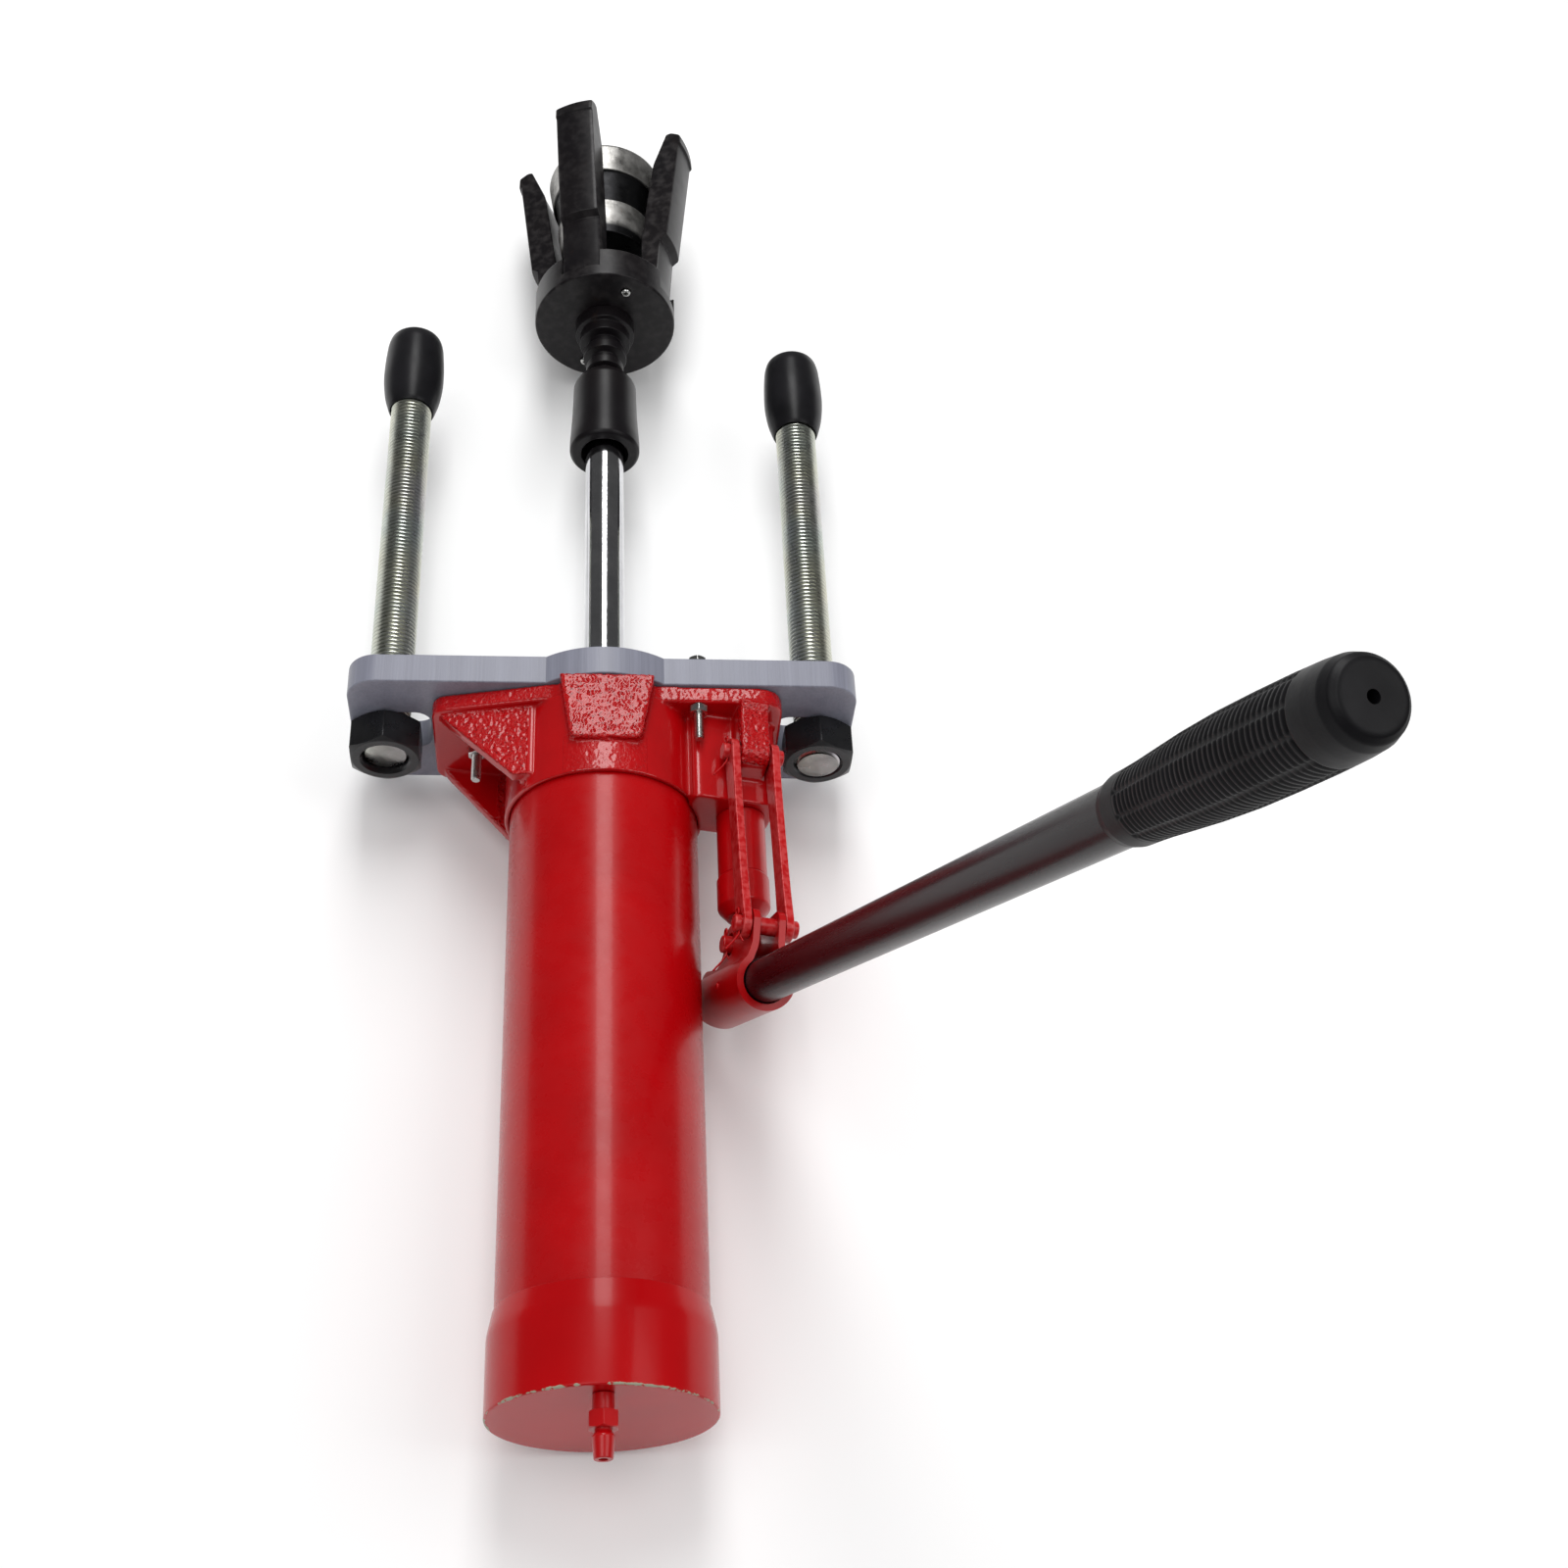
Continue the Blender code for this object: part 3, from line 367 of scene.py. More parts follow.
def black_rubber(name, roughness, tone, bump=0.10):
    n = Nodes(name, roughness=roughness, specular=0.16)
    colour = n.mix(n.band(n.noise(38, 4), 0.35, 0.65), tone, tuple(value * 1.7 for value in tone))
    normal = n.bump(n.noise(650, 3), bump, 0.0003)
    return n.finish(colour=colour, roughness=n.band(n.noise(60, 4), 0.3, 0.7,
                                                   roughness * 0.85, roughness * 1.12),
                    normal=normal)


def black_paint():
    """Gloss black paint on the handle tube, with fine scuffs along it."""
    n = Nodes("black_paint", roughness=0.26, coat=0.04, coat_roughness=0.14, specular=0.18)
    scuffs = n.noise(1.0, 4, 0.6, stretch=(160, 160, 10))
    colour = n.mix(n.band(scuffs, 0.40, 0.70), (0.0046, 0.0022, 0.0038), (0.0070, 0.0040, 0.0058))
    return n.finish(colour=colour, roughness=n.band(scuffs, 0.3, 0.7, 0.25, 0.30),
                    normal=n.bump(scuffs, 0.015, 0.0003))


# ---- mesh helpers
def shift(x, y, z):
    """Matrix that moves by a distance in mm."""
    return Matrix.Translation(Vector((x, y, z)) * MM)


def moved(bm, *steps):
    for step in steps:
        bm.transform(step)
    return bm


def bridge(bm, first, second):
    """Quads between two closed rings of vertices."""
    count = len(first)
    for i in range(count):
        j = (i + 1) % count
        bm.faces.new((first[i], first[j], second[j], second[i]))


def circle(bm, radius, height, segments, axes):
    return [bm.verts.new(axes(radius * math.cos(2 * math.pi * i / segments),
                              radius * math.sin(2 * math.pi * i / segments), height))
            for i in range(segments)]


def applied_mesh(thing):
    """Mesh of an object with its modifiers or its curve settings applied."""
    bpy.context.view_layer.update()
    graph = bpy.context.evaluated_depsgraph_get()
    return bpy.data.meshes.new_from_object(thing.evaluated_get(graph))


def rounded(points, radius, steps=4, closed=True):
    """Round the corners of a polygon.  A point may carry its own radius as a third value."""
    result = []
    count = len(points)
    for i, point in enumerate(points):
        here = Vector(point[:2])
        own = point[2] if len(point) > 2 else radius
        before, after = Vector(points[i - 1][:2]), Vector(points[(i + 1) % count][:2])
        if own <= 0 or (not closed and i in (0, count - 1)):
            result.append(tuple(here))
            continue
        a, b = before - here, after - here
        reach = min(own, a.length * 0.48, b.length * 0.48)
        if reach < 1e-5 or a.length < 1e-6 or b.length < 1e-6:
            result.append(tuple(here))
            continue
        start, stop = here + a.normalized() * reach, here + b.normalized() * reach
        for k in range(steps + 1):
            t = k / steps
            spot = start * (1 - t) ** 2 + here * 2 * t * (1 - t) + stop * t * t
            result.append(tuple(spot))
    return result


def arc(cx, cy, radius, start, stop, steps):
    return [(cx + radius * math.cos(math.radians(start + (stop - start) * i / steps)),
             cy + radius * math.sin(math.radians(start + (stop - start) * i / steps)))
            for i in range(steps + 1)]


def along_y(u, v, w):
    return Vector((u, w, v)) * MM


def along_x(u, v, w):
    return Vector((w, u, v)) * MM


def along_z(u, v, w):
    return Vector((u, v, w)) * MM


def lathe_bm(profile, segments=96, axes=along_y, fillet=0.5):
    """Turn a closed profile of (radius, height[, fillet]); the axis is radius 0."""
    points = [(r, h, 0) if r < 1e-6 else ((r, h) + tuple(extra)) for r, h, *extra in profile]
    outline = rounded(points, fillet)
    bm = bmesh.new()
    rings = []
    for r, h in outline:
        if r < 1e-6:
            rings.append(None)
            continue
        rings.append(circle(bm, r, h, segments, axes))
    for a, b in zip(rings, rings[1:] + rings[:1]):
        if a is None or b is None:
            if a or b:
                bm.faces.new(a or b)
            continue
        bridge(bm, a, b)
    return bm


def rod_bm(radius, start, stop, segments, axes=along_y):
    return lathe_bm([(0, start), (radius, start), (radius, stop), (0, stop)], segments, axes, 0)


def prism_bm(outline, start, stop, axes):
    bm = bmesh.new()
    rings = [[bm.verts.new(axes(u, v, w)) for u, v in outline] for w in (start, stop)]
    bm.faces.new(rings[0])
    bm.faces.new(rings[1])
    bridge(bm, *rings)
    return bm


def plate_bm(outline, holes, start, stop, bevel, axes):
    """Flat plate with holes and rounded edges, from a filled 2D curve."""
    curve = bpy.data.curves.new("plate", "CURVE")
    curve.dimensions = "2D"
    curve.fill_mode = "BOTH"
    curve.extrude = ((stop - start) / 2 - bevel) * MM
    curve.bevel_depth = bevel * MM
    curve.bevel_resolution = 3
    curve.offset = -bevel * MM
    for ring in [outline] + list(holes):
        spline = curve.splines.new("POLY")
        spline.points.add(len(ring) - 1)
        for point, (u, v) in zip(spline.points, ring):
            point.co = (u * MM, v * MM, 0, 1)
        spline.use_cyclic_u = True
    holder = add_object("plate", curve)
    mesh = applied_mesh(holder)
    bpy.data.objects.remove(holder, do_unlink=True)
    bm = bmesh.new()
    bm.from_mesh(mesh)
    bmesh.ops.remove_doubles(bm, verts=bm.verts, dist=1e-6)
    middle = (start + stop) / 2
    for vertex in bm.verts:
        u, v, w = vertex.co / MM
        vertex.co = axes(u, v, w + middle)
    return bm


def make(name, bm, finish, body, nodes=(), matrix=TOOL, sharp=32, weighted=True):
    """Turn a bmesh into a piece that rides on a body and stands for CAD nodes."""
    bmesh.ops.remove_doubles(bm, verts=bm.verts, dist=2e-7)
    bmesh.ops.recalc_face_normals(bm, faces=bm.faces)
    mesh = mesh_of(name, bm)
    piece = add_object(name, mesh)
    piece.matrix_world = matrix
    mesh.materials.append(finishes[finish])
    mesh.shade_smooth()
    mesh.set_sharp_from_angle(angle=math.radians(sharp))
    if weighted:
        tidy = piece.modifiers.new("weighted", "WEIGHTED_NORMAL")
        tidy.keep_sharp = True
    if body:
        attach(piece, body)
        if nodes:
            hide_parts(*nodes)
    return piece


def joined(*parts):
    bm = bmesh.new()
    for part in parts:
        bm.from_mesh(mesh_of("part", part))
    return bm


def boolean(base, others, operation):
    """Exact Boolean of bmeshes, in shared local coordinates."""
    first = make("base", base, "red_cast", None, weighted=False, matrix=Matrix())
    for other in others:
        second = make("tool", other, "red_cast", None, weighted=False, matrix=Matrix())
        cut = first.modifiers.new("cut", "BOOLEAN")
        cut.object = second
        cut.operation = operation
        cut.solver = "EXACT"
        mesh = applied_mesh(first)
        first.modifiers.remove(cut)
        first.data = mesh
        bpy.data.objects.remove(second, do_unlink=True)
    bm = bmesh.new()
    bm.from_mesh(first.data)
    bpy.data.objects.remove(first, do_unlink=True)
    return bm


def hexagon(flats, fillet=0.4):
    radius = flats / math.sqrt(3)
    corners = [(radius * math.cos(math.radians(60 * i + 30)),
                radius * math.sin(math.radians(60 * i + 30))) for i in range(6)]
    return rounded(corners, fillet, 3)


def hex_bm(flats, start, stop, bore=0.0, fillet=0.4):
    """Hexagon along Y with turned chamfers, and a countersunk bore if given."""
    corner = flats / math.sqrt(3)
    depth = (corner - flats / 2) * 0.75
    face, rim = flats / 2 * 0.955, corner * 1.02
    turned = lathe_bm([(0, start), (face, start), (rim, start + depth), (rim, stop - depth),
                       (face, stop), (0, stop)], fillet=0.25)
    solid = boolean(prism_bm(hexagon(flats, fillet), start, stop, along_y), [turned], "INTERSECT")
    if bore:
        sink = bore * 1.10
        hole = lathe_bm([(0, start - 5), (sink, start - 5), (sink, start),
                         (bore, start + (sink - bore)), (bore, stop + 5), (0, stop + 5)],
                        72, fillet=0)
        solid = boolean(solid, [hole], "DIFFERENCE")
    return solid


def thread_bm(radius, pitch, start, stop, segments, depth=None, chamfer=1.5):
    """A threaded shank along Y as one helical sweep, its ends clamped flat and chamfered."""
    depth = depth or pitch * 0.58
    section = [(0.00, -depth), (0.10, -depth), (0.46, 0.0), (0.60, 0.0), (0.96, -depth)]
    bm = bmesh.new()
    turns = int((stop - start) / pitch) + 3
    rows = []
    for turn in range(-1, turns):
        for share, drop in section:
            row = []
            for i in range(segments + 1):
                height = start + (turn + share + i / segments) * pitch
                clamped = min(max(height, start), stop)
                edge = min(clamped - start, stop - clamped)
                r = min(radius + drop, radius - chamfer + edge)
                if height != clamped:
                    r = radius - chamfer
                angle = 2 * math.pi * i / segments
                row.append((r, angle, clamped))
            rows.append(row)
    grid = [[bm.verts.new(along_y(r * math.cos(a), r * math.sin(a), h)) for r, a, h in row]
            for row in rows]
    for a, b in zip(grid, grid[1:]):
        for i in range(segments):
            bm.faces.new((a[i], a[i + 1], b[i + 1], b[i]))
    bmesh.ops.remove_doubles(bm, verts=bm.verts, dist=2e-6)
    bmesh.ops.dissolve_degenerate(bm, dist=1e-6, edges=bm.edges)
    rims = [edge for edge in bm.edges if len(edge.link_faces) == 1]
    bmesh.ops.holes_fill(bm, edges=rims, sides=0)
    return bm


def set_attribute(piece, name, rule):
    """Store a number on each vertex, from its local position in mm and its normal."""
    mesh = piece.data
    values = mesh.attributes.new(name, "FLOAT", "POINT")
    for vertex in mesh.vertices:
        values.data[vertex.index].value = rule(vertex.co / MM, vertex.normal)


def mark_edges(piece, amount=0.30):
    """Mark vertices on rounded edges, where faces meet at an angle, as the worn ones."""
    bm = bmesh.new()
    bm.from_mesh(piece.data)
    bm.verts.ensure_lookup_table()
    values = piece.data.attributes.new("edge", "FLOAT", "POINT")
    for vertex in bm.verts:
        bend = max((edge.calc_face_angle(0) for edge in vertex.link_edges), default=0)
        values.data[vertex.index].value = min(1.0, bend / amount)
    bm.free()


def tube_bm(points, radius, sides=10):
    """Round bar along a list of points."""
    bm = bmesh.new()
    rings = []
    count = len(points)
    spots = [Vector(p) * MM for p in points]
    side = None
    for i, spot in enumerate(spots):
        ahead = (spots[min(i + 1, count - 1)] - spots[max(i - 1, 0)]).normalized()
        if side is None:
            side = ahead.orthogonal().normalized()
        side = (side - ahead * side.dot(ahead)).normalized()
        other = ahead.cross(side)
        rings.append([bm.verts.new(spot + (side * math.cos(2 * math.pi * k / sides)
                                           + other * math.sin(2 * math.pi * k / sides))
                                   * radius * MM) for k in range(sides)])
    for a, b in zip(rings, rings[1:]):
        bridge(bm, a, b)
    bm.faces.new(rings[0])
    bm.faces.new(rings[-1])
    return bm


# ---- crossbar, bolts, legs
BAR_THICK = 19.5
BOLTS = ((-76.5, -3.0), (55.3, 43.0), (55.3, -43.0))     # places in x and z
LEG_X = 130.7
STUD_R, STUD_PITCH, STUD_END = 13.5, 3.0, -38.5
CAP_LENGTH, CAP_WALL = 67.0, 12.0


def crossbar():
    half, wide, r, disc = 152, 50, 18, 61
    reach = math.degrees(math.asin(wide / disc))
    outline = (arc(half - r, wide - r, r, 0, 90, 14) + arc(0, 0, disc, reach, 180 - reach, 32)
               + arc(-half + r, wide - r, r, 90, 180, 14)
               + arc(-half + r, -wide + r, r, 180, 270, 14)
               + arc(0, 0, disc, 180 + reach, 360 - reach, 32)
               + arc(half - r, -wide + r, r, 270, 360, 14))
    holes = [arc(0, 0, 20.0, 360, 7.5, 47)]
    for side in (-1, 1):
        inner, outer = sorted((side * 104, side * 146))
        corners = [(inner, -17.5), (outer, -17.5), (outer, 17.5), (inner, 17.5)]
        ring = []
        for (x, z), angle in zip(corners, (180, 270, 0, 90)):
            sx, sz = (1 if x == inner else -1), (1 if z < 0 else -1)
            ring += arc(x + sx * 10, z + sz * 10, 10, angle, angle + 90, 8)
        holes.append(ring)
    for x, z in BOLTS:
        holes.append(arc(x, z, 3.5, 0, 345, 23))
    bm = plate_bm(outline, holes, -BAR_THICK, 0, 0.9, along_y)
    make("crossbar_plate", bm, "grey_bar", "frame", ["crossbar"])


def flange_fasteners():
    for index, (x, z) in enumerate(BOLTS, start=1):
        place = TOOL @ shift(x, 0, z)
        head = hex_bm(10, 0.2, 4.2)
        shank = thread_bm(3.0, 1.0, -54.0, 1.0, 24, chamfer=0.7)
        make(f"bolt_{index}", joined(head, shank), "bolt", "frame",
             [f"flange_bolt_{index}"], place)
        nut = hex_bm(10, -36.3, -31.3, bore=3.1)
        make(f"nut_{index}", nut, "bolt", "frame", [f"flange_nut_{index}"], place)


def leg(word, side, drop, bottom):
    place = TOOL @ shift(side * LEG_X, 0, 0)
    stud = thread_bm(STUD_R, STUD_PITCH, STUD_END - drop, bottom + 2.0, 40, depth=1.35, chamfer=1.2)
    piece = make(f"stud_{word}", stud, "zinc", f"leg_{word}",
                 [f"leg_stud_{word}"], place, sharp=50, weighted=False)
    set_attribute(piece, "crest", lambda co, normal: max(0.0, min(
        1.0, (math.hypot(co.x, co.z) - 12.3) / 0.9)))
    nut = hex_bm(41, -BAR_THICK - 22.3, -BAR_THICK - 0.3, bore=STUD_R + 0.3, fillet=0.9)
    make(f"nut_{word}", nut, "nut", f"leg_slider_{word}", [f"leg_nut_{word}"], place)
    b, t = bottom, bottom + CAP_LENGTH
    cap = [(13.8, b), (14.6, b - 0.2, 1.2), (15.6, b + 2.0, 3), (18.4, b + 12, 8),
           (20.3, b + 27, 10), (20.0, b + 44, 14), (18.9, t - 8, 5), (17.4, t - 2.0, 2.6),
           (14.2, t, 3.0), (0, t), (0, t - CAP_WALL), (13.8, t - CAP_WALL)]
    make(f"cap_{word}", lathe_bm(cap, 96, fillet=0.4), "leg_cap",
         f"leg_{word}", [f"leg_cap_{word}"], place, sharp=50)


# ---- casting and cylinder
PUMP_TILT = math.radians(13.2)
PUMP = TOOL @ shift(80.3, 0, 12.4) @ Matrix.Rotation(PUMP_TILT, 4, "Y")
PUMP_LOCAL = TOOL.inverted() @ PUMP
FLANGE_TOP, FLANGE_END, COLLAR_END, WEB_END = -19.8, -31.0, -86.5, -79.0
FULCRUM, LINK_PIN = (-62.0, 27.0), (-182.5, 35.5)        # places in y and z of the pump
PLUNGER_PIN = -176.0
PIN_R, PIN_BORE = 5.0, 5.3
RELEASE_PLACE = shift(0, -62, 0)
TUBE_R, TUBE_SEAT_R, CAP_R, CAP_END = 55.3, 55.6, 58.8, -437.0
CYLINDER_R, CYLINDER_BORE = 36.0, 30.5
NIPPLE_Z = 44
VOXEL, WRINKLE_SEED = 0.80, 7


def web_bm(side):
    """Slanted web along one tapered edge of the flange's left arm."""
    bm = bmesh.new()
    layers = []
    for inset in (0.0, 7.5):
        corners = [(-98, 32.5, FLANGE_END + 2), (-42, 42.9, FLANGE_END + 2),
                   (-42, 42.9, WEB_END), (-53.0, 40.8, WEB_END),
                   (-96, 32.7, FLANGE_END - 2.5)]
        layers.append([bm.verts.new(Vector((x, y, side * (z - inset))) * MM)
                       for x, z, y in corners])
    bm.faces.new(layers[0])
    bm.faces.new(layers[1])
    bridge(bm, *layers)
    return bm


def casting_outline():
    return (arc(92, 34, 14, 0, 90, 8) + [(-30, 50)] + arc(-92, 27, 10, 100, 180, 6)
            + arc(-92, -27, 10, 180, 260, 6) + [(-30, -50)] + arc(92, -34, 14, 270, 360, 8))


def casting():
    """The red casting: solids joined, remeshed and softened so that its corners flow."""
    flange = prism_bm(casting_outline(), FLANGE_END, FLANGE_TOP - 0.2, along_y)
    collar = lathe_bm([(0, -22), (58.5, -22), (58.5, COLLAR_END), (0, COLLAR_END)], 128, fillet=0)
    pad = prism_bm([(-26.5, -20.2), (29, -20.2), (21.5, -63), (19, -65.5), (-18, -65.5),
                    (-20.5, -63)], 30, 61.4, along_z)
    box = rounded([(-34, -19), (18.5, -19), (18.5, 18.5), (-34, 18.5)], 5)
    block = moved(prism_bm(box, -90, FLANGE_END + 2, along_y), PUMP_LOCAL)
    front = FULCRUM[1] + 9
    lug_side = ([(FLANGE_END + 2, 6), (FLANGE_END + 2, front + 2.5), (-36, front)]
                + arc(FULCRUM[0], FULCRUM[1], 9, 90, 180, 8) + [(-77, 12), (-82, 6)])
    lug = moved(prism_bm(lug_side, -8.6, 8.6, along_x), PUMP_LOCAL)
    boss = moved(rod_bm(11.5, -26, -10, 48, along_z), RELEASE_PLACE, PUMP_LOCAL)
    solid = boolean(flange, [collar, pad, web_bm(1), web_bm(-1), block, lug, boss], "UNION")
    seat = [(50.5, -60), (TUBE_SEAT_R, -60), (TUBE_SEAT_R, -110), (50.5, -110)]
    cuts = [rod_bm(36.3, -46, -120, 96), lathe_bm(seat, 128, fillet=0), rod_bm(13.3, -60, 10, 64)]
    cuts += [moved(rod_bm(3.6, -60, 0, 24), shift(x, 0, z)) for x, z in BOLTS]
    cuts += [moved(rod_bm(11.2, -110, -72, 32), PUMP_LOCAL),
             moved(rod_bm(PIN_BORE, -30, 30, 32, along_x), shift(0, *FULCRUM), PUMP_LOCAL),
             moved(rod_bm(4.2, -40, -13, 24, along_z), RELEASE_PLACE, PUMP_LOCAL)]
    solid = boolean(solid, cuts, "DIFFERENCE")
    piece = make("casting", solid, "red_cast", None, weighted=False, matrix=Matrix())
    remesh = piece.modifiers.new("remesh", "REMESH")
    remesh.mode = "VOXEL"
    remesh.voxel_size = VOXEL * MM
    smooth = piece.modifiers.new("smooth", "SMOOTH")
    smooth.factor = 0.6
    smooth.iterations = 11
    mesh = applied_mesh(piece)
    bpy.data.objects.remove(piece, do_unlink=True)
    bm = bmesh.new()
    bm.from_mesh(mesh)
    piece = make("casting", bm, "red_cast", "frame", ["body_casting"],
                 sharp=40, weighted=False)
    to_pump = PUMP_LOCAL.inverted()
    set_attribute(piece, "rough", lambda co, normal: casting_rough(co, normal, to_pump))
    roughen(piece)


def casting_rough(co, normal, to_pump):
    """How rough the casting is at a point: pad, webs, flange rim, lug face, a few patches."""
    x, y, z = co
    if abs(z) > 58.9 and -28 < x < 30 and y > -66.5:
        return 1.0
    if x < -45 and y < FLANGE_END - 0.5 and abs(normal.z) > 0.6 and abs(z) > 31:
        return 0.95
    if y > FLANGE_END + 1.5 and y < FLANGE_TOP - 1 and abs(normal.y) < 0.5:
        return 0.55
    local = to_pump @ (co * MM) / MM
    if abs(local.x) < 8.8 and local.z > 30 and y < FLANGE_END:
        return 0.9
    if math.hypot(x, z) > 57 and z > 0 and -86 < y < -60 and abs(x) < 24:
        return 0.35
    return 0.06


def roughen(piece):
    """Wrinkle the rough areas along their normals, as the sand of the mould left them."""
    noise.seed_set(WRINKLE_SEED)             # or noise_vector changes from run to run
    rough = piece.data.attributes["rough"].data
    moves = []
    for vertex in piece.data.vertices:
        amount = rough[vertex.index].value
        if amount < 0.2:
            continue
        spot = vertex.co / MM
        warp = spot + noise.noise_vector(spot * 0.35) * 1.6
        ridge = 1.0 - abs(noise.noise(warp * 0.36)) * 2.6
        height = ridge * 0.50 + noise.noise(spot * 0.90) * 0.18 - 0.16
        moves.append((vertex.index, vertex.normal * height * amount * MM))
    for index, move in moves:
        piece.data.vertices[index].co += move


def cylinder():
    tube = [(50.8, -424.7), (TUBE_R, -424.7), (TUBE_R, -60.3), (50.8, -60.3)]
    make("reservoir", lathe_bm(tube, 192), "red_paint", "frame", ["reservoir_tube"])
    cap = [(TUBE_SEAT_R, -425), (TUBE_SEAT_R, -384, 0.1), (56.2, -383.8, 0.8),
           (CAP_R, -396.5, 3.0), (CAP_R, CAP_END, 1.3), (0, CAP_END), (0, -425)]
    hole = moved(rod_bm(4.0, -450, -420, 24), shift(0, 0, NIPPLE_Z))
    bm = boolean(lathe_bm(cap, 192), [hole], "DIFFERENCE")
    make("end_cap_shell", bm, "red_cap", "frame", ["end_cap"])
    nipple()
    inner = [(CYLINDER_BORE, -424.7), (CYLINDER_R, -424.7), (CYLINDER_R, -46.3),
             (CYLINDER_BORE, -46.3)]
    make("ram_cylinder", lathe_bm(inner, 96), "bare", "frame", ["inner_cylinder"])
    gland = [(13.0, -19.3), (19.7, -19.3), (19.7, -0.4), (17.6, -0.1, 0.3), (17.0, -1.6),
             (14.0, -1.6), (13.4, -0.3), (13.0, -0.9)]
    make("rod_gland_ring", lathe_bm(gland, 96, fillet=0.3), "bare", "frame",
         ["rod_gland"])


def nipple():
    place = TOOL @ shift(0, 0, NIPPLE_Z)
    stem = lathe_bm([(0, -426), (3.7, -426), (3.7, -437.3), (5.4, -437.3), (5.4, -446.5),
                     (0, -446.5)], 32, fillet=0.4)
    collar = hex_bm(14.0, -454.0, -445.5)
    tip = lathe_bm([(0, -453), (4.4, -453), (4.2, -455.4, 1.0), (5.7, -457.2, 0.8),
                    (4.7, -468.0, 0.6), (2.3, -468.0), (2.1, -460.0), (0, -460.0)], 32,
                   fillet=0.4)
    make("bleed_nipple", joined(stem, collar, tip), "red_part", "frame",
         ["bleed_valve"], place)


# ---- ram and claw
def ram():
    shaft = [(0, -118), (12.7, -118), (12.7, 246, 1.2), (0, 246)]
    make("ram_rod", lathe_bm(shaft, 128), "chrome", "ram", ["piston_rod"])
    piston = [(13.0, -116), (30.2, -116), (30.2, -98), (13.0, -98)]
    make("piston", lathe_bm(piston, 96), "bare", "ram", ["ram_piston"])
    seal = [(13.0, -97.6), (30.2, -97.6, 1.5), (30.2, -91.6, 1.5), (13.0, -91.6)]
    make("piston_ring", lathe_bm(seal, 96), "leg_cap", "ram", ["piston_seal"])
    make("piston_lock_nut", hex_bm(27.7, -128.5, -118.4), "bare", "ram",
         ["piston_nut"])
    coupling = [(15.8, 209.2, 0.8), (21.6, 209.0, 0.8), (23.5, 211.2, 1.2), (23.5, 219, 3),
                (21.9, 244, 12), (21.4, 269.5, 1.8), (18.4, 275.0, 0.8), (9.8, 275.0, 0.3),
                (9.8, 250, 0), (0, 250), (0, 246.4), (13.0, 246.4, 0), (13.0, 223, 0),
                (15.8, 223, 0.3)]
    make("coupling", lathe_bm(coupling, 96), "claw_steel", "ram", ["rod_coupling"])


JAW_ANGLES = [math.radians(112 + 90 * i) for i in range(4)]
JAW_PIVOT_R, JAW_PIVOT_Y = 38.5, 350.0
JAW_HALF, JAW_EDGE, JAW_SLICES = 14.0, 0.9, 17           # half width, edge rounding, stations
CUP_R, SCREW_CIRCLE = 49.2, 36
CONE_LOW, CONE_HIGH = 397.0, 480.0
CONE_LOW_R, CONE_HIGH_R = 30.5, 42.0
GROOVE = (426.0, 454.5)


def claw():
    stem = [(0, 250.4), (9.5, 250.4), (9.5, 284.2, 0.2), (13.0, 285.4), (13.0, 291.6),
            (10.5, 292.6), (10.5, 296.4), (15.0, 298.4), (15.0, 305.0), (12.0, 306.2),
            (12.0, 312.0, 0.4), (17.6, 313.0, 0.6), (17.6, 321.0, 0.4), (20.5, 321.8, 0.5),
            (20.5, 331.7), (10.2, 331.7, 0), (10.2, 350.0, 0), (6.2, 350.0, 0),
            (6.2, 315.0, 0), (0, 315.0)]
    make("claw_spindle", lathe_bm(stem, 96, fillet=0.6), "claw_steel", "claw",
         ["claw_stem"])
    cup = lathe_bm([(10.5, 332), (CUP_R, 332, 1.8), (CUP_R, 357.5, 1.0), (10.5, 357.5, 0.4)],
                   160, fillet=0.3)
    slot = [(30, -14.4), (60, -14.4), (60, 14.4), (30, 14.4)]
    cuts = [moved(prism_bm(slot, 341, 370, along_y), Matrix.Rotation(-angle, 4, "Y"))
            for angle in JAW_ANGLES]
    screws = [shift(SCREW_CIRCLE * math.cos(math.radians(angle)), 0,
                    SCREW_CIRCLE * math.sin(math.radians(angle))) for angle in (67, 247)]
    cuts += [moved(rod_bm(3.6, 322, 338, 24), spot) for spot in screws]
    piece = make("claw_cup_ring", boolean(cup, cuts, "DIFFERENCE"), "claw_steel",
                 "claw", ["claw_cup"])
    mark_edges(piece)
    for index, spot in enumerate(screws, start=1):
        grub = lathe_bm([(0, 330), (2.6, 330), (3.2, 330.8), (3.2, 337.5), (0, 337.5)], 32,
                        fillet=0.2)
        screw = boolean(grub, [prism_bm(hexagon(3.0, 0), 320, 333, along_y)], "DIFFERENCE")
        make(f"grub_screw_{index}", screw, "bolt", "claw", [f"claw_screw_{index}"],
             TOOL @ spot)
    cone()
    for index, angle in enumerate(JAW_ANGLES, start=1):
        jaw(index, angle)


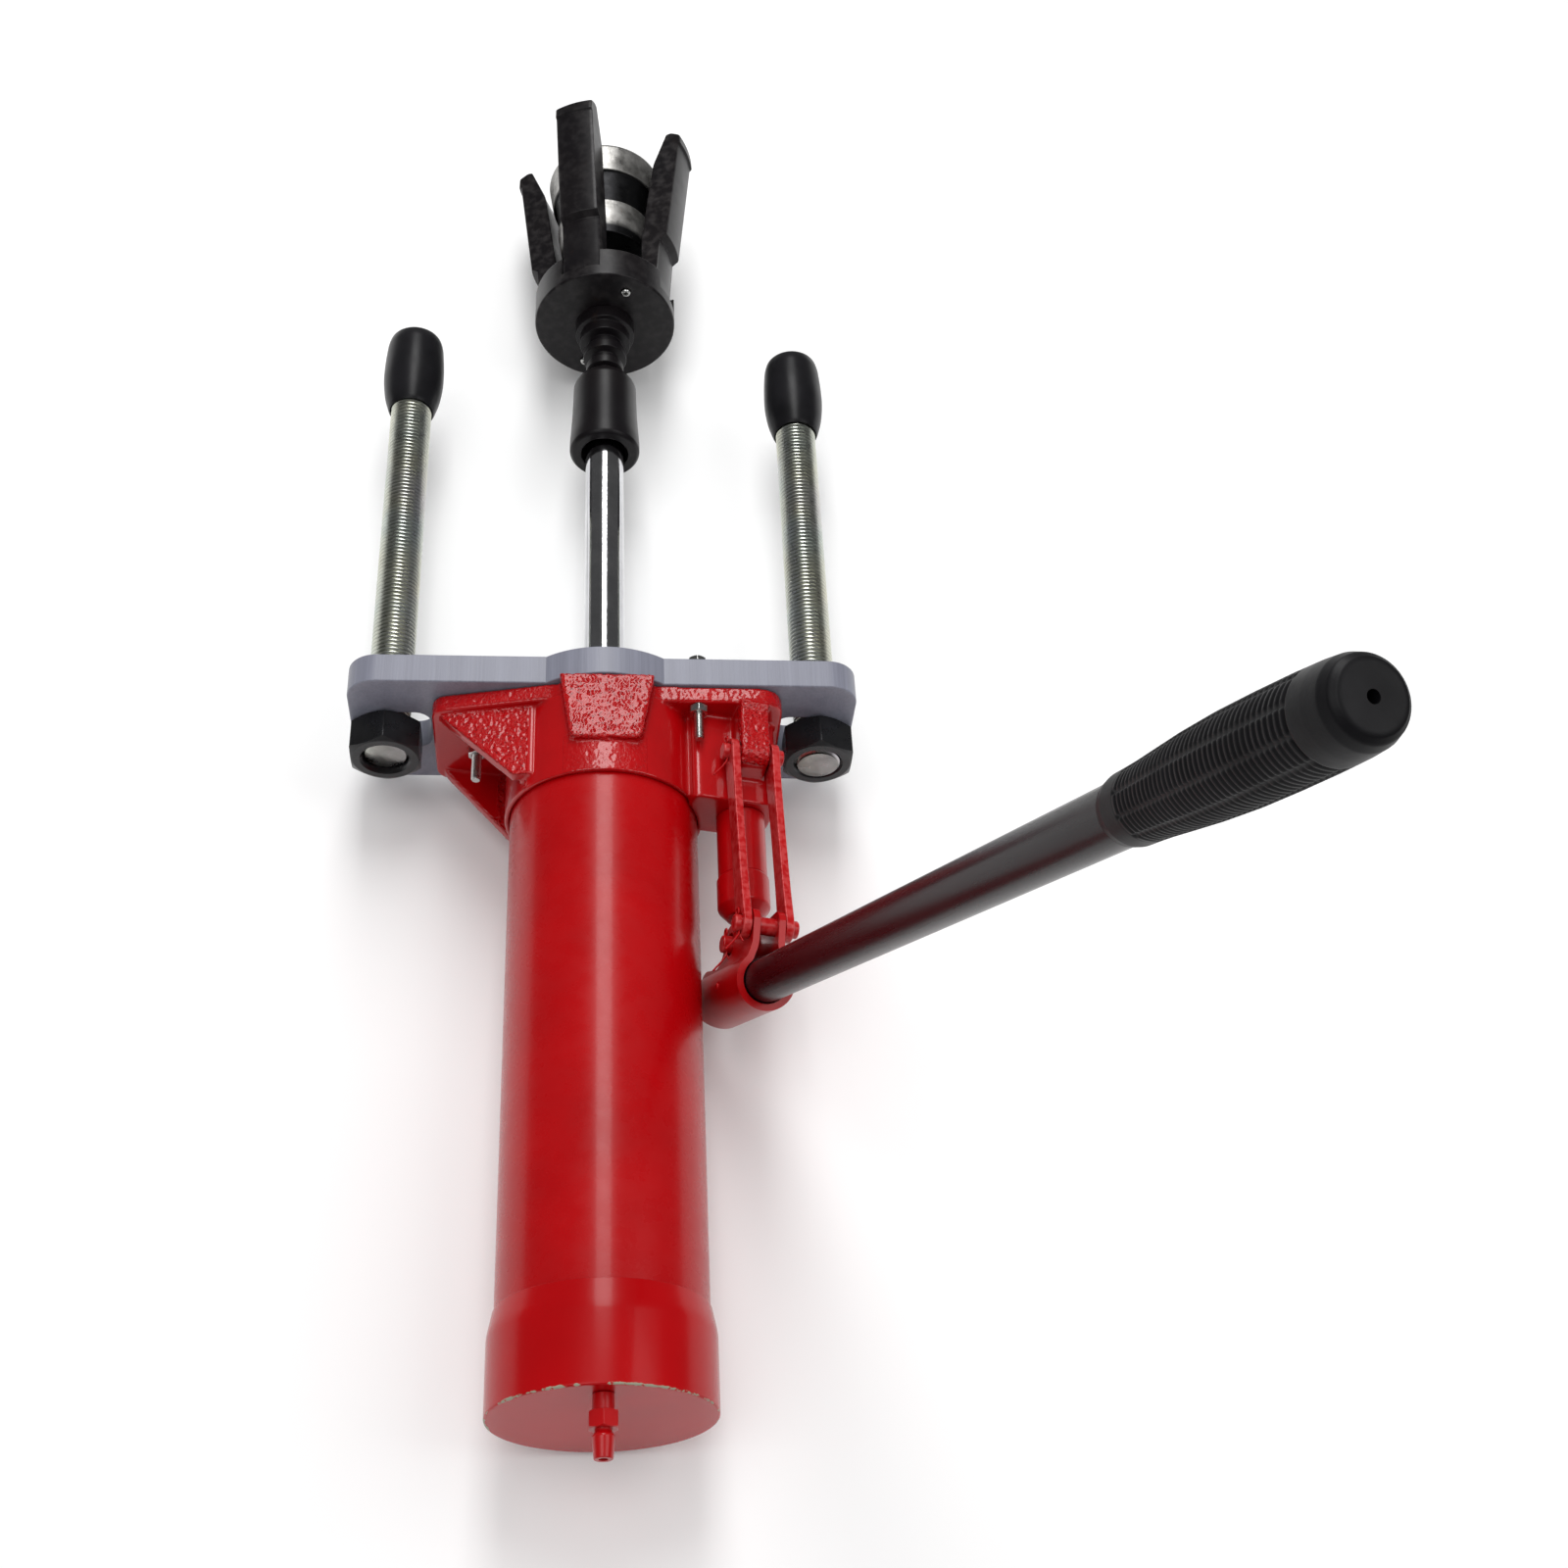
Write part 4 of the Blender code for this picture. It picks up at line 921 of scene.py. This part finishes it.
def cone():
    low, high = CONE_LOW, CONE_HIGH

    def radius(y):
        return CONE_LOW_R + (CONE_HIGH_R - CONE_LOW_R) * (y - low) / (high - low)
    g0, g1 = GROOVE
    profile = [(6.6, low), (radius(low), low, 1.0), (radius(g0), g0, 0.6),
               (radius(g0) - 2.0, g0 + 0.8, 0.4), (radius(g1) - 2.0, g1 - 0.8, 0.4),
               (radius(g1), g1, 0.6), (radius(high - 3), high - 3, 2.5),
               (38.5, high, 1.5), (6.6, high)]
    make("cone", lathe_bm(profile, 160), "cone", "cone", ["expander_cone"])
    bolt = lathe_bm([(0, 336.5), (5.9, 336.5), (5.9, 480.3), (12.5, 480.3), (12.5, 489.5, 1.0),
                     (0, 491.0)], 64, fillet=0.4)
    socket = prism_bm(hexagon(10.0, 0), 484, 500, along_y)
    make("cone_bolt", boolean(bolt, [socket], "DIFFERENCE"), "bare", "cone",
         ["cone_screw"])


JAW_SIDE = [(32.0, 344.0, 1.0), (45.0, 344.0, 1.0), (45.6, 357.0, 2), (48.6, 391.0, 0.6),
            (53.6, 394.5, 0.8), (64.0, 488.5, 0.4), (65.6, 489.8, 0.3), (65.4, 498.0, 0.8),
            (59.5, 502.6, 1.2), (55.5, 502.2, 1.2), (43.5, 470.0, 4), (33.0, 397.0, 4)]


def jaw(index, angle):
    """One jaw: side profile swept across its width, outer face turned to fit a bore."""
    outline = rounded(JAW_SIDE, 0.5, 3)
    half, slices, edge = JAW_HALF, JAW_SLICES, JAW_EDGE
    bm = bmesh.new()
    rings = []
    stations = [-half] + [(-half + edge) + (2 * half - 2 * edge) * i / (slices - 1)
                          for i in range(slices)] + [half]
    for w in stations:
        inset = edge * 0.8 if abs(w) > half - 1e-6 else 0.0
        ring = []
        for r, y in outline:
            bow = r - (r - math.sqrt(max(r * r - w * w, 0))) * smooth_step((r - 36) / 14)
            middle_r, middle_y = 46.0 + (y - 344) * 0.06, 425.0
            pull = Vector((middle_r - bow, (middle_y - y) * 0.15))
            if inset and pull.length > 1e-6:
                pull = pull.normalized() * inset
                bow += pull.x
                y_here = y + (inset * (1 if y < middle_y else -1) if y < 346 or y > 499 else 0)
            else:
                y_here = y
            ring.append(bm.verts.new(Vector((bow - JAW_PIVOT_R, y_here - JAW_PIVOT_Y, w)) * MM))
        rings.append(ring)
    for a, b in zip(rings, rings[1:]):
        bridge(bm, a, b)
    bm.faces.new(rings[0])
    bm.faces.new(rings[-1])
    place = (TOOL @ shift(JAW_PIVOT_R * math.cos(angle), JAW_PIVOT_Y, JAW_PIVOT_R * math.sin(angle))
             @ Matrix.Rotation(-angle, 4, "Y"))
    piece = make(f"jaw_arm_{index}", bm, "claw_steel", "jaw_" + "abcd"[index - 1],
                 [f"jaw_{index}"], place, sharp=35)
    mark_edges(piece)
    pin = lathe_bm([(0, -13.7), (2.3, -13.7), (2.3, 13.7), (0, 13.7)], 24, along_z, 0.4)
    make(f"jaw_axle_{index}", pin, "bare", "claw", [f"jaw_pin_{index}"], place)


def smooth_step(t):
    t = min(max(t, 0.0), 1.0)
    return t * t * (3 - 2 * t)


# ---- pump and linkage
LEAN = math.atan2(LINK_PIN[1] - FULCRUM[1], FULCRUM[0] - LINK_PIN[0])
LINK_LENGTH = math.hypot(LINK_PIN[1] - FULCRUM[1], FULCRUM[0] - LINK_PIN[0])
LINK = PUMP @ shift(0, *FULCRUM) @ Matrix.Rotation(-LEAN, 4, "X")
PITCH = math.radians(19.2)               # of the handle, against the pump
KNURLS = 24
HANDLE = PUMP @ shift(0, *LINK_PIN) @ Matrix.Rotation(PITCH, 4, "X")
TUBE_DROP = 31.0
SOCKET_BORE = 6.8                        # wide, for the plunger pin runs straight
TUBE_TOP = 566
TUBE = HANDLE @ shift(0, -TUBE_DROP, 0)


def pump():
    barrel = [(8.0, -72.5, 0), (10.8, -72.5, 0.4), (10.8, -90.3, 0), (14.3, -90.3, 0.6),
              (14.3, -132, 0.4), (8.0, -132, 0)]
    make("barrel", lathe_bm(barrel, 96), "red_part", "frame", ["pump_barrel"], PUMP)
    gland = [(7.3, -132.3, 0), (14.6, -132.3, 0.3), (15.3, -133.4, 0.5), (15.3, -151.8, 1.0),
             (10.2, -158, 0.8), (7.3, -158, 0.4)]
    make("gland", lathe_bm(gland, 96), "red_part", "frame", ["pump_gland"], PUMP)
    seal = [(7.3, -112), (7.7, -112), (7.7, -107), (7.3, -107)]
    make("seal_ring", lathe_bm(seal, 48, fillet=0.1), "leg_cap", "frame",
         ["plunger_seal"], PUMP)
    stem = lathe_bm([(0, -100), (7.0, -100), (7.0, -162.5), (0, -162.5)], 64)
    eye = plate_bm(arc(PLUNGER_PIN, 0, 8.6, 80, 280, 28)
                   + [(-165, -5), (-155, -5), (-155, 5), (-165, 5)],
                   [arc(PLUNGER_PIN, 0, PIN_BORE, 0, 350, 35)], -4.6, 4.6, 0.6, along_x)
    make("plunger", joined(stem, eye), "bare", "plunger", ["pump_plunger"], PUMP)
    pin("fulcrum_bolt", (0, *FULCRUM), 18.5, "frame", "fulcrum", PUMP)
    pin("plunger_bolt", (0, PLUNGER_PIN, 0), 14.5, "plunger", "plunger", PUMP)
    pin("link_bolt", (0, -LINK_LENGTH, 0), 18.5, "links", "link", LINK)
    links()
    release_valve()


def pin(name, place, half, body, group, matrix):
    """A painted pivot pin with chamfered ends, and the split pin through its left end."""
    spot = matrix @ shift(*place)
    x = -half + 3.0
    drill = moved(rod_bm(1.1, -8, 8, 16), shift(x, 0, 0))
    body_bm = lathe_bm([(0, -half), (PIN_R, -half, 1.1), (PIN_R, half, 1.1), (0, half)], 48,
                       along_x, 0.5)
    piece = make(name, boolean(body_bm, [drill], "DIFFERENCE"), "red_part", body,
                 [f"{group}_pin"], spot)
    mark_edges(piece)
    eye = [(x, 5.4 + 2.2 + 2.2 * math.sin(math.radians(a)), 2.2 * math.cos(math.radians(a)))
           for a in range(-60, 241, 20)]
    eye = tube_bm(eye, 0.62, 8)
    long_leg = tube_bm([(x, 6.0, 0.45), (x, -5.0, 0.45), (x - 0.6, -7.4, 0.5),
                        (x - 3.4, -11.8, 0.6), (x - 8.6, -18.2, 0.7)], 0.55, 8)
    short_leg = tube_bm([(x, 6.0, -0.45), (x, -5.0, -0.45), (x + 0.5, -7.0, -0.6),
                         (x + 2.2, -10.6, -0.9)], 0.55, 8)
    make(name + "_cotter", joined(eye, long_leg, short_leg), "red_part", body,
         [f"{group}_split_pin"], spot, sharp=60)


def links():
    length = LINK_LENGTH
    waist = [(-18, 6.9), (-30, 6.5), (-length / 2, 6.3), (-length + 30, 6.5), (-length + 18, 6.9)]
    outline = (arc(0, 0, 8.0, -90, 90, 24) + waist + arc(-length, 0, 8.0, 90, 270, 24)
               + [(u, -v) for u, v in reversed(waist)])
    holes = [arc(centre, 0, PIN_BORE, 0, 350, 35) for centre in (0, -length)]
    for word, near, far in (("left", -14.6, -9.8), ("right", 9.8, 14.6)):
        bm = plate_bm(outline, holes, near, far, 0.7, along_x)
        piece = make(f"link_{word}", bm, "red_part", "links",
                     [f"pump_link_{word}"], LINK)
        mark_edges(piece)


def release_valve():
    """Knurled release screw at the back of the pump block."""
    place = PUMP @ RELEASE_PLACE
    knob = lathe_bm([(0, -47.0), (8.8, -47.0, 0.8), (9.3, -46.0, 0.4), (9.3, -33.8, 0.6),
                     (6.0, -32.2, 0.5), (6.0, -26.5, 0.4), (3.8, -26.3, 0), (3.8, -15.5, 0.4),
                     (1.2, -13.5, 0), (0, -13.5)], 96, along_z, 0.4)
    for vertex in knob.verts:
        r = math.hypot(vertex.co.x, vertex.co.y) / MM
        z = vertex.co.z / MM
        if r > 9.0 and -45.5 < z < -34.2:
            swell = 1 + 0.045 * math.cos(KNURLS * math.atan2(vertex.co.y, vertex.co.x))
            vertex.co.x *= swell
            vertex.co.y *= swell
    make("release_knob", knob, "bare", "release_valve", ["release_valve"], place)


# ---- handle
def plunger_in_handle():
    dy, dz = PLUNGER_PIN - LINK_PIN[0], -LINK_PIN[1]
    c, s = math.cos(PITCH), math.sin(PITCH)
    return dy * c + dz * s, dz * c - dy * s


def socket_bm():
    """Bent plate: a saddle round the handle tube, drawn in to two ears at the pins."""
    wall, outer, ear = 3.8, 16.8, 9.2
    centre = -TUBE_DROP
    mid_r = outer - wall / 2
    mid_ear = ear - wall / 2
    half = [(mid_ear, 22.0), (mid_ear, centre + mid_r + 9.0), (mid_ear + 0.2, centre + mid_r + 4.5)]
    half += arc(0, centre, mid_r, 48, -90, 26)
    line = half + [(-u, v) for u, v in reversed(half[:-1])]
    smooth_line = rounded(line, 5.0, 5, closed=False)
    offset = []
    for side in (1, -1):
        ring = []
        for i, (u, v) in enumerate(smooth_line):
            a = Vector(smooth_line[max(i - 1, 0)])
            b = Vector(smooth_line[min(i + 1, len(smooth_line) - 1)])
            along = (b - a).normalized()
            normal = Vector((-along.y, along.x)) * side * wall / 2
            ring.append((u + normal.x, v + normal.y))
        offset.append(ring)
    outline = offset[0] + offset[1][::-1]
    solid = prism_bm(outline, -95, 15, along_z)
    pin_y, pin_z = plunger_in_handle()
    side_view = ([(-52, 7.5), (-30, 8.0), (-14.5, 8.5)] + arc(0, 0, 9.0, 70, 10, 8)
                 + arc(pin_y, pin_z, 11.5, 30, -80, 12)
                 + [(-17.5, -52), (-15.0, -78), (-17.0, -81.5), (-34.0, -84.5), (-37.5, -84.0),
                    (-52, -70)])
    side = prism_bm(rounded(side_view, 3.0, 3), -30, 30, along_x)
    solid = boolean(solid, [side], "INTERSECT")
    drills = [moved(rod_bm(r, -30, 30, 40, along_x), shift(0, y, z))
              for y, z, r in ((0, 0, PIN_BORE), (pin_y, pin_z, SOCKET_BORE))]
    drills.append(moved(rod_bm(2.2, -20, -12.6, 20, along_x), shift(0, -TUBE_DROP, -30)))
    return boolean(solid, drills, "DIFFERENCE")


def handle():
    piece = make("socket", socket_bm(), "red_part", "handle", ["handle_socket"],
                 HANDLE, weighted=False)
    bevel = piece.modifiers.new("bevel", "BEVEL")
    bevel.width = 0.6 * MM
    bevel.segments = 2
    bevel.limit_method = "ANGLE"
    bevel.angle_limit = math.radians(50)
    bevel.use_clamp_overlap = True
    weighted = piece.modifiers.new("weighted", "WEIGHTED_NORMAL")
    weighted.keep_sharp = True
    screw = lathe_bm([(0, -17.6), (1.6, -17.6), (2.0, -17.0), (2.0, -12.9), (0, -12.9)], 24,
                     along_x, 0.15)
    make("set_screw", screw, "red_part", "handle", ["handle_set_screw"],
         TUBE @ shift(0, 0, -30))
    tube = [(10.5, -70), (12.3, -70, 0.6), (12.3, TUBE_TOP), (10.5, TUBE_TOP)]
    make("lever_tube", lathe_bm(tube, 96, along_z), "black_paint", "handle",
         ["handle_tube"], TUBE)
    grip()


GRIP_START, GRIP_END = 427.0, 573.0
FIRST_RIB, LAST_RIB, RIB_PITCH = 440.0, 553.0, 3.1
GRIP_SHAPE = [(427.0, 13.2), (431.0, 14.0), (440.0, 14.2), (448.0, 14.5), (460.0, 15.2),
              (480.0, 16.3), (502.0, 16.9), (524.0, 16.8), (545.0, 16.4), (560.0, 15.8),
              (567.0, 15.2), (571.0, 13.9), (573.0, 11.8)]


def grip_radius(height):
    heights = [h for h, r in GRIP_SHAPE]
    return float(np.interp(height, heights, [r for h, r in GRIP_SHAPE]))


def grip():
    """Moulded grip: rows of short ribs between lengthwise flutes, smooth at both ends."""
    segments, rows = 144, 320
    bm = bmesh.new()
    rings = []
    for k in range(rows + 1):
        height = GRIP_START + (GRIP_END - GRIP_START) * k / rows
        base = grip_radius(height)
        inside = smooth_step((height - FIRST_RIB) / 1.5) * smooth_step((LAST_RIB - height) / 1.5)
        rib = 0.5 - 0.5 * math.cos(2 * math.pi * (height - FIRST_RIB) / RIB_PITCH)
        ring = []
        for i in range(segments):
            angle = 2 * math.pi * i / segments
            flute = abs(math.sin(angle * 5 + 0.4))
            across = smooth_step((flute - 0.16) / 0.16)
            r = base - inside * (0.75 * (1 - across) + 0.62 * across * (1 - rib) ** 2)
            ring.append(bm.verts.new(Vector((r * math.cos(angle), r * math.sin(angle),
                                             height)) * MM))
        rings.append(ring)
    inner = ((10.0, GRIP_END), (2.3, GRIP_END), (2.2, GRIP_END - 5.5), (12.6, GRIP_END - 5.5),
             (12.6, GRIP_START), (13.2, GRIP_START - 0.2))
    loop = rings + [circle(bm, r, height, segments, along_z) for r, height in inner]
    for a, b in zip(loop, loop[1:] + loop[:1]):
        bridge(bm, a, b)
    make("grip", bm, "grip", "handle", ["handle_grip"], TUBE,
         sharp=60, weighted=False)


# ---- build everything
finishes = {
    "red_paint": red_paint(),
    "red_cap": red_cap(CAP_END * MM),
    "red_cast": red_cast(),
    "red_part": red_part(),
    "grey_bar": grey_bar(),
    "zinc": zinc_thread(),
    "nut": steel("black_nut", (0.006, 0.006, 0.007), (0.016, 0.016, 0.018), 0.30, 0.25),
    "bolt": steel("zinc_bolt", (0.48, 0.48, 0.47), (0.72, 0.72, 0.70), 0.26),
    "bare": steel("turned_steel", (0.36, 0.36, 0.36), (0.56, 0.56, 0.55), 0.30, 1.0, 0.25),
    "chrome": steel("chrome_rod", (0.60, 0.60, 0.62), (0.74, 0.74, 0.76), 0.10, 1.0, 0.03),
    "claw_steel": claw_steel(),
    "cone": cone_steel((GROOVE[0] * MM, GROOVE[1] * MM)),
    "leg_cap": black_rubber("cap_rubber", 0.34, (0.0062, 0.0060, 0.0070)),
    "grip": black_rubber("grip_rubber", 0.48, (0.0036, 0.0034, 0.0042), 0.16),
    "black_paint": black_paint(),
}

make_world()
make_camera()
make_floor()
area_light("key", (-0.6, -0.6, 2.1), (0, 0, 0), 1.2, 12)
area_light("fill", (1.3, -0.3, 1.7), (0, 0, 0), 1.2, 9)
area_light("strip", (0.0, 1.10, 1.70), (0, -0.1, 0), 0.58, 24, 1.8)
crossbar()
flange_fasteners()
leg("left", -1, 0.0, 243.0)
leg("right", 1, 4.0, 231.0)
casting()
cylinder()
ram()
claw()
pump()
handle()
